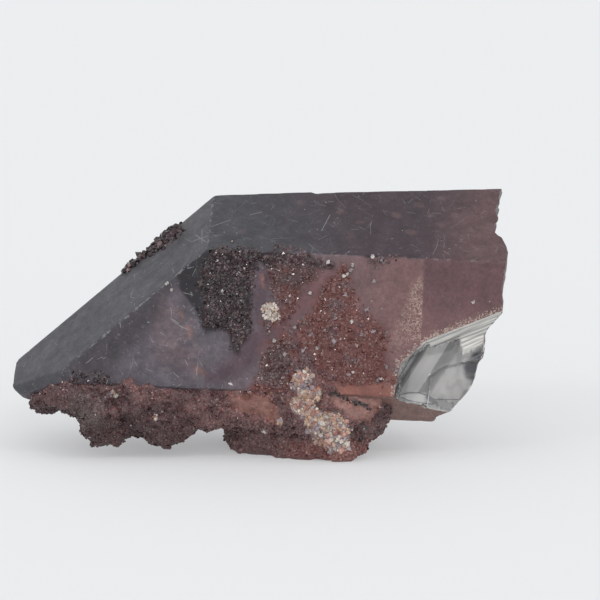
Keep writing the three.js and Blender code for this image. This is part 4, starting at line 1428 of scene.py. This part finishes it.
def pale_tufts():
    """The pale tuft, and the small groups of white and lilac grains on the front face"""
    generator = np.random.default_rng(SEED + 2)
    crust = CRUSTS["pale_tufts"]
    kinds = [(PALE_TUFT, [PALE_TUFT["place"]]), (WHITE_GROUP, WHITE_GRAINS), (LILAC_GROUP, LILAC_GRAINS)]
    places = [front_places(middle, group["radius"], group["count"], generator)
              for group, middles in kinds for middle in middles]
    places = np.concatenate(places)
    kind = np.repeat([0, 1, 2], [group["count"] * len(middles) for group, middles in kinds])
    in_tuft, white, lilac = kind == 0, kind == 1, kind == 2
    count = len(places)
    normals = np.repeat((prism_normal(60) @ CRYSTAL_AXES)[None], count, axis=0)
    widths = generator.uniform(*crust["widths"], count)
    widths *= np.where(in_tuft, generator.uniform(1, 1.9, count), 1)
    widths += WHITE_GROUP["wider"] * white + LILAC_GROUP["wider"] * lilac
    heights = widths * generator.uniform(*crust["heights"], count) * np.where(lilac, 0.5, 1)
    stained = in_tuft & (generator.random(count) < 0.3)
    shade = generator.uniform(0.5, 1, count) * np.where(in_tuft, 1.15, 1)
    colours = np.array([PALE_GRAINS, WHITE, LILAC_GREY])[kind]
    colours = np.where(stained[:, None], CREAM_GRAINS, colours) * shade[:, None]
    tufts = druse_object("pale_tufts", places, normals, widths, heights, colours, generator)
    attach(tufts, "root")


# The base

def smooth_lowest(first, second, radius):
    """The lowest of two distances, with their meeting rounded"""
    part = np.clip(0.5 + 0.5 * (second - first) / radius, 0, 1)
    return second * (1 - part) + first * part - radius * part * (1 - part)


def crust_distance(points):
    """Outside distance of the thin crust that follows the crystal's lower faces"""
    local = to_crystal(points)
    distances = face_distances(local)
    for (_, turn), number in FACE_NUMBER.items():
        distances[:, number] -= CRUST["thickness"] if turn in CRUSTED_TURNS else -CRUST["lip"]
    sides = [distances.max(axis=1), local[:, 2] - CRUST["top"]]
    ends = [CRUST["from"] - points[:, 0], points[:, 0] - CRUST["to"]]
    return np.max([*sides, *ends], axis=0)


def rear_lumps():
    """Centres and half sizes of the lumps in rows under the crystal"""
    generator = np.random.default_rng(SEED + 5)
    lumps = []
    for row, front in enumerate(REAR_ROWS):
        start = REAR_LUMPS["from"] + (row % 2) * REAR_LUMPS["pitch"] / 2
        for along in np.arange(start, REAR_LUMPS["to"], REAR_LUMPS["pitch"]):
            shift = generator.uniform(-REAR_LUMPS["jitter"], REAR_LUMPS["jitter"], 2)
            centre = from_crystal(np.array([-along - shift[0], front + shift[1], REAR_LUMPS["top"]]))
            size = generator.uniform(*REAR_LUMPS["sizes"])
            lumps.append((centre, np.array([size, size, REAR_LUMPS["flatness"] * size])))
    return lumps


def base_distance(points):
    """Outside distance of the crust, its lumps and its foot"""
    result = crust_distance(points)
    front, foot = lumps_in_place(FRONT_LUMPS), lumps_in_place(FOOT_LUMPS)
    for kind, lumps in {"rear": rear_lumps(), "front": front, "foot": foot}.items():
        for centre, size in lumps:
            lump = (np.linalg.norm((points - centre) / size, axis=1) - 1) * size.min()
            result = smooth_lowest(result, lump, LUMP_JOINTS[kind])
    near = np.abs(result) < BASE_REACH
    for seed, (size, height) in enumerate(BASE_ROUGHNESS):
        result[near] += height * noise(points[near], size, SEED + 20 + seed)
    inner = whole_crystal(to_crystal(points)) + BASE_GAP
    return np.maximum(np.maximum(result, -inner), -points[:, 2])


def near_spot(places, place, radius):
    """How far flat places lie inside a round spot"""
    return radius - np.linalg.norm(places - np.array(place), axis=1)


def base_zones(points):
    """How far points lie inside each patch of colour on the front of the base"""
    places = points[:, [0, 2]]
    ragged = 0.3 * noise(points, 0.9, SEED + 31) + 0.2 * noise(points, 0.4, SEED + 32)
    behind = 3 * ramp(points[:, 1], -4, -2)
    dots = [near_spot(places, place, SPECK_RADIUS) for place in BLACK_SPECKS]
    pale = [inside_outline(places, outline) for outline in PALE_OUTLINES]
    pale += [near_spot(places, place, PALE_SPOT_RADIUS) for place in PALE_SPOTS]
    zones = {
        "pale": np.max(pale, axis=0),
        "orange": inside_outline(places, ORANGE_AREA),
        "brick": inside_outline(places, BRICK_AREA),
        "brick_lump": near_spot(places, **BRICK_LUMP),
        "gold": near_spot(places, **GOLD),
        "salmon": near_spot(places, **SALMON),
        "specks": np.max(dots, axis=0),
        "crack": 0.1 - from_line(places, CRACK),
        "grey": near_spot(places, **GREY_LUMP),
    }
    return {name: value + ragged - behind for name, value in zones.items()}


def matrix_colours(points):
    """Colours of the base without its patches, with painted shade under its hanging lumps"""
    across, depth, height = points.T
    clouds = noise(points, 3, SEED + 30) + 0.6 * noise(points, 1.1, SEED + 33)
    hanging = ramp(across, *HANGING_SHADE["across"])
    colour = blend(MATRIX_RED, MATRIX_DARK, ramp(clouds, -0.8, 0.6))
    colour = blend(colour, FOOT_COLOUR, 0.7 * ramp(height, *FOOT_UNDER) * (1 - hanging))
    # Painted shade on the undersides of the hanging lumps
    colour = blend(colour, 0.7 * MATRIX_DARK, 0.8 * hanging * ramp(height, *HANGING_SHADE["under"]))
    colour = blend(colour, MATRIX_DARK, 0.7 * ramp(across, *DARK_END))
    toe = ramp(across, *TOE["across"]) * ramp(height, *TOE["under"]) * ramp(depth, *TOE["before"])
    return blend(colour, TOE_RED, 0.6 * toe)


def base_colours(points, shade):
    """Colours of the base, each point with its own shade"""
    zones = base_zones(points)
    flecks = ramp(noise(points, 0.35, SEED + 37), 0.3, 0.8)
    stained = blend(ORANGE_MATRIX, CREAM_GRAINS, 0.15 * flecks)
    pale = blend(CREAM_GRAINS, LILAC_GREY, ramp(noise(points, 0.7, SEED + 34), -0.3, 0.3))
    layers = [
        ("grey", GREY_GRAINS, 0.5, (-0.5, 1.5)),
        ("orange", stained, 1, (-0.2, 0.2)),
        ("brick", BRICK, 1, (-0.3, 0.3)),
        ("brick_lump", BRICK, 0.7, (-0.3, 0.5)),
        ("pale", pale, 0.8, (-0.15, 0.15)),
        ("gold", GOLD_COLOUR, 0.7, (-0.1, 0.4)),
        ("salmon", SALMON_COLOUR, 0.8, (-0.1, 0.2)),
    ]
    colour = matrix_colours(points)
    for zone, tone, strength, border in layers:
        colour = blend(colour, tone, strength * ramp(zones[zone], *border))
    dark = np.maximum(zones["specks"], zones["crack"])
    return blend(colour * shade[:, None], NEAR_BLACK, 0.8 * ramp(dark, -0.05, 0.2))


def base_piece():
    """The body of the base"""
    corners, faces = contour(base_distance, *widened(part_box("druse_base")), BASE_CELL)
    base = make_object("base_body", corners, faces, base_colours(corners, np.full(len(corners), BODY_SHADE)))
    base.data.materials.append(matrix_material())
    base.data.shade_smooth()
    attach(base, "root")
    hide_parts("druse_base")
    return corners, faces


def base_druse(corners, faces):
    """Small crystals all over the base, with few on its smooth orange and brick patches"""
    generator = np.random.default_rng(SEED + 1)

    def outside(points):
        """Which places are clear of the large crystal and of the ground, and not smooth"""
        zones = base_zones(points)
        smooth = np.maximum(zones["brick"], zones["orange"]) > 0.1
        shown = whole_crystal(to_crystal(points)) > CLEAR_OF["crystal"]
        shown &= points[:, 2] > CLEAR_OF["ground"]
        return shown & (~smooth | (noise(points, 0.3, SEED + 36) > 0.5))

    crust = CRUSTS["base_druse"]
    places, normals = scatter(corners, faces, crust["spacing"], generator, outside)
    count = len(places)
    widths = generator.uniform(*crust["widths"], count)
    heights = widths * generator.uniform(*crust["heights"], count)
    colours = base_colours(places, generator.uniform(0.7, 1.32, count))
    druse = druse_object("base_druse", places, normals, widths, heights, colours, generator)
    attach(druse, "root")


def pale_cluster(corners, faces):
    """The blocky pale crystals at the front right of the base, and dark grains along its crack"""
    generator = np.random.default_rng(SEED + 4)

    def clustered(points):
        """Which places lie in the pale patches"""
        return base_zones(points)["pale"] + 0.35 * noise(points, 0.6, SEED + 39) > 0.05

    crust = CRUSTS["pale_cluster"]
    places, normals = scatter(corners, faces, crust["spacing"], generator, clustered)
    count = len(places)
    tones = np.array([PALE_GRAINS, PALE_GRAINS, LILAC_GREY, CREAM_GRAINS, PINK_CLUSTER])
    colours = tones[generator.integers(0, len(tones), count)] * generator.uniform(0.65, 1.05, (count, 1))
    stain = ramp(noise(places, 0.8, SEED + 40) + 0.5 * noise(places, 0.4, SEED + 41), 0, 0.6)
    colours = blend(colours, ORANGE_MATRIX, 0.65 * stain)
    crack, outward = crack_places(corners, faces, generator)
    places, normals = np.concatenate([places, crack]), np.concatenate([normals, outward])
    colours = np.concatenate([colours, np.repeat(NEAR_BLACK[None], len(crack), axis=0)])
    least, most = crust["widths"]
    sizes = least + (most - least) * generator.random(count) ** 2
    widths = np.concatenate([sizes, generator.uniform(*CRACK_GRAINS["widths"], len(crack))])
    heights = widths * generator.uniform(*crust["heights"], len(widths))
    cluster = druse_object("pale_cluster", places, normals, widths, heights, colours, generator)
    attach(cluster, "root")


def foremost(corners, place, reach=0.2):
    """Number of the foremost corner within reach of a place across and height"""
    near = np.abs(corners[:, [0, 2]] - place).max(axis=1) < reach
    return np.argmin(np.where(near, corners[:, 1], np.inf))


def crack_places(corners, faces, generator):
    """Places scattered along the crack on the front of the base, and the directions out of it"""
    count = CRACK_GRAINS["count"]
    stretch = generator.integers(0, len(CRACK) - 1, count)
    part = generator.random((count, 1))
    line = np.array(CRACK)
    wanted = line[stretch] * (1 - part) + line[stretch + 1] * part
    wanted += CRACK_GRAINS["spread"] * generator.normal(size=wanted.shape)
    in_front = corners[:, 1] < 0
    front = corners[in_front]
    picked = [foremost(front, place) for place in wanted]
    return front[picked], corner_normals(corners, faces)[in_front][picked]


# The stage

def add_camera():
    """The camera that took the photograph"""
    data = bpy.data.cameras.new("camera")
    data.lens = CAMERA_LENS
    data.sensor_width = CAMERA_SENSOR
    data.clip_start = 0.01
    camera = bpy.data.objects.new("camera", data)
    bpy.context.scene.collection.objects.link(camera)
    elevation = np.radians(CAMERA_ELEVATION)
    away = np.array([0, -np.cos(elevation), np.sin(elevation)])
    camera.location = (CAMERA_TARGET + CAMERA_DISTANCE * away) * MM
    camera.rotation_euler = Vector(-away).to_track_quat("-Z", "Y").to_euler()
    bpy.context.scene.camera = camera


def add_light(name, place, width, strength):
    """A distant round soft light that shines from a direction and looks so many degrees wide"""
    data = bpy.data.lights.new(name, "SUN")
    data.angle = np.radians(width)
    data.energy = strength
    light = bpy.data.objects.new(name, data)
    bpy.context.scene.collection.objects.link(light)
    light.rotation_euler = Vector(-np.array(place, float)).to_track_quat("-Z", "Y").to_euler()


def add_stage():
    """The floor sheet and the lights"""
    corners = np.array([(-1, -1, 0), (1, -1, 0), (1, 1, 0), (-1, 1, 0)]) * FLOOR["half_width"]
    corners = corners - np.array([0, 0, FLOOR["drop"]])
    floor = make_object("floor", corners, np.array([[0, 1, 2, 3]]))
    floor.data.materials.append(floor_material())
    world = bpy.data.worlds.new("studio")
    world.use_nodes = True
    background = world.node_tree.nodes["Background"]
    background.inputs["Color"].default_value = DAYLIGHT
    background.inputs["Strength"].default_value = WORLD_STRENGTH
    bpy.context.scene.world = world
    for name, (place, width, strength) in LIGHTS.items():
        add_light(name, place, width, strength)


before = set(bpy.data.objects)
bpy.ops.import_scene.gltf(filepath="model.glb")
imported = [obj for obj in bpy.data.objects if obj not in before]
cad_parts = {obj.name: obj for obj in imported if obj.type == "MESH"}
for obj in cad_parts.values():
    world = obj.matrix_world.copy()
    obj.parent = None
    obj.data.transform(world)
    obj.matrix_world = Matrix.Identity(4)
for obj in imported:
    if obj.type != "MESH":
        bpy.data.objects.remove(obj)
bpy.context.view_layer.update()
crystal_corners, crystal_mesh_faces = large_crystal()
clear_corner_piece()
crystal_druse(crystal_corners, crystal_mesh_faces)
ridge_druse(crystal_corners, crystal_mesh_faces)
pale_tufts()
base_corners, base_faces = base_piece()
base_druse(base_corners, base_faces)
pale_cluster(base_corners, base_faces)
add_camera()
add_stage()
bpy.context.scene.view_settings.view_transform = "Standard"
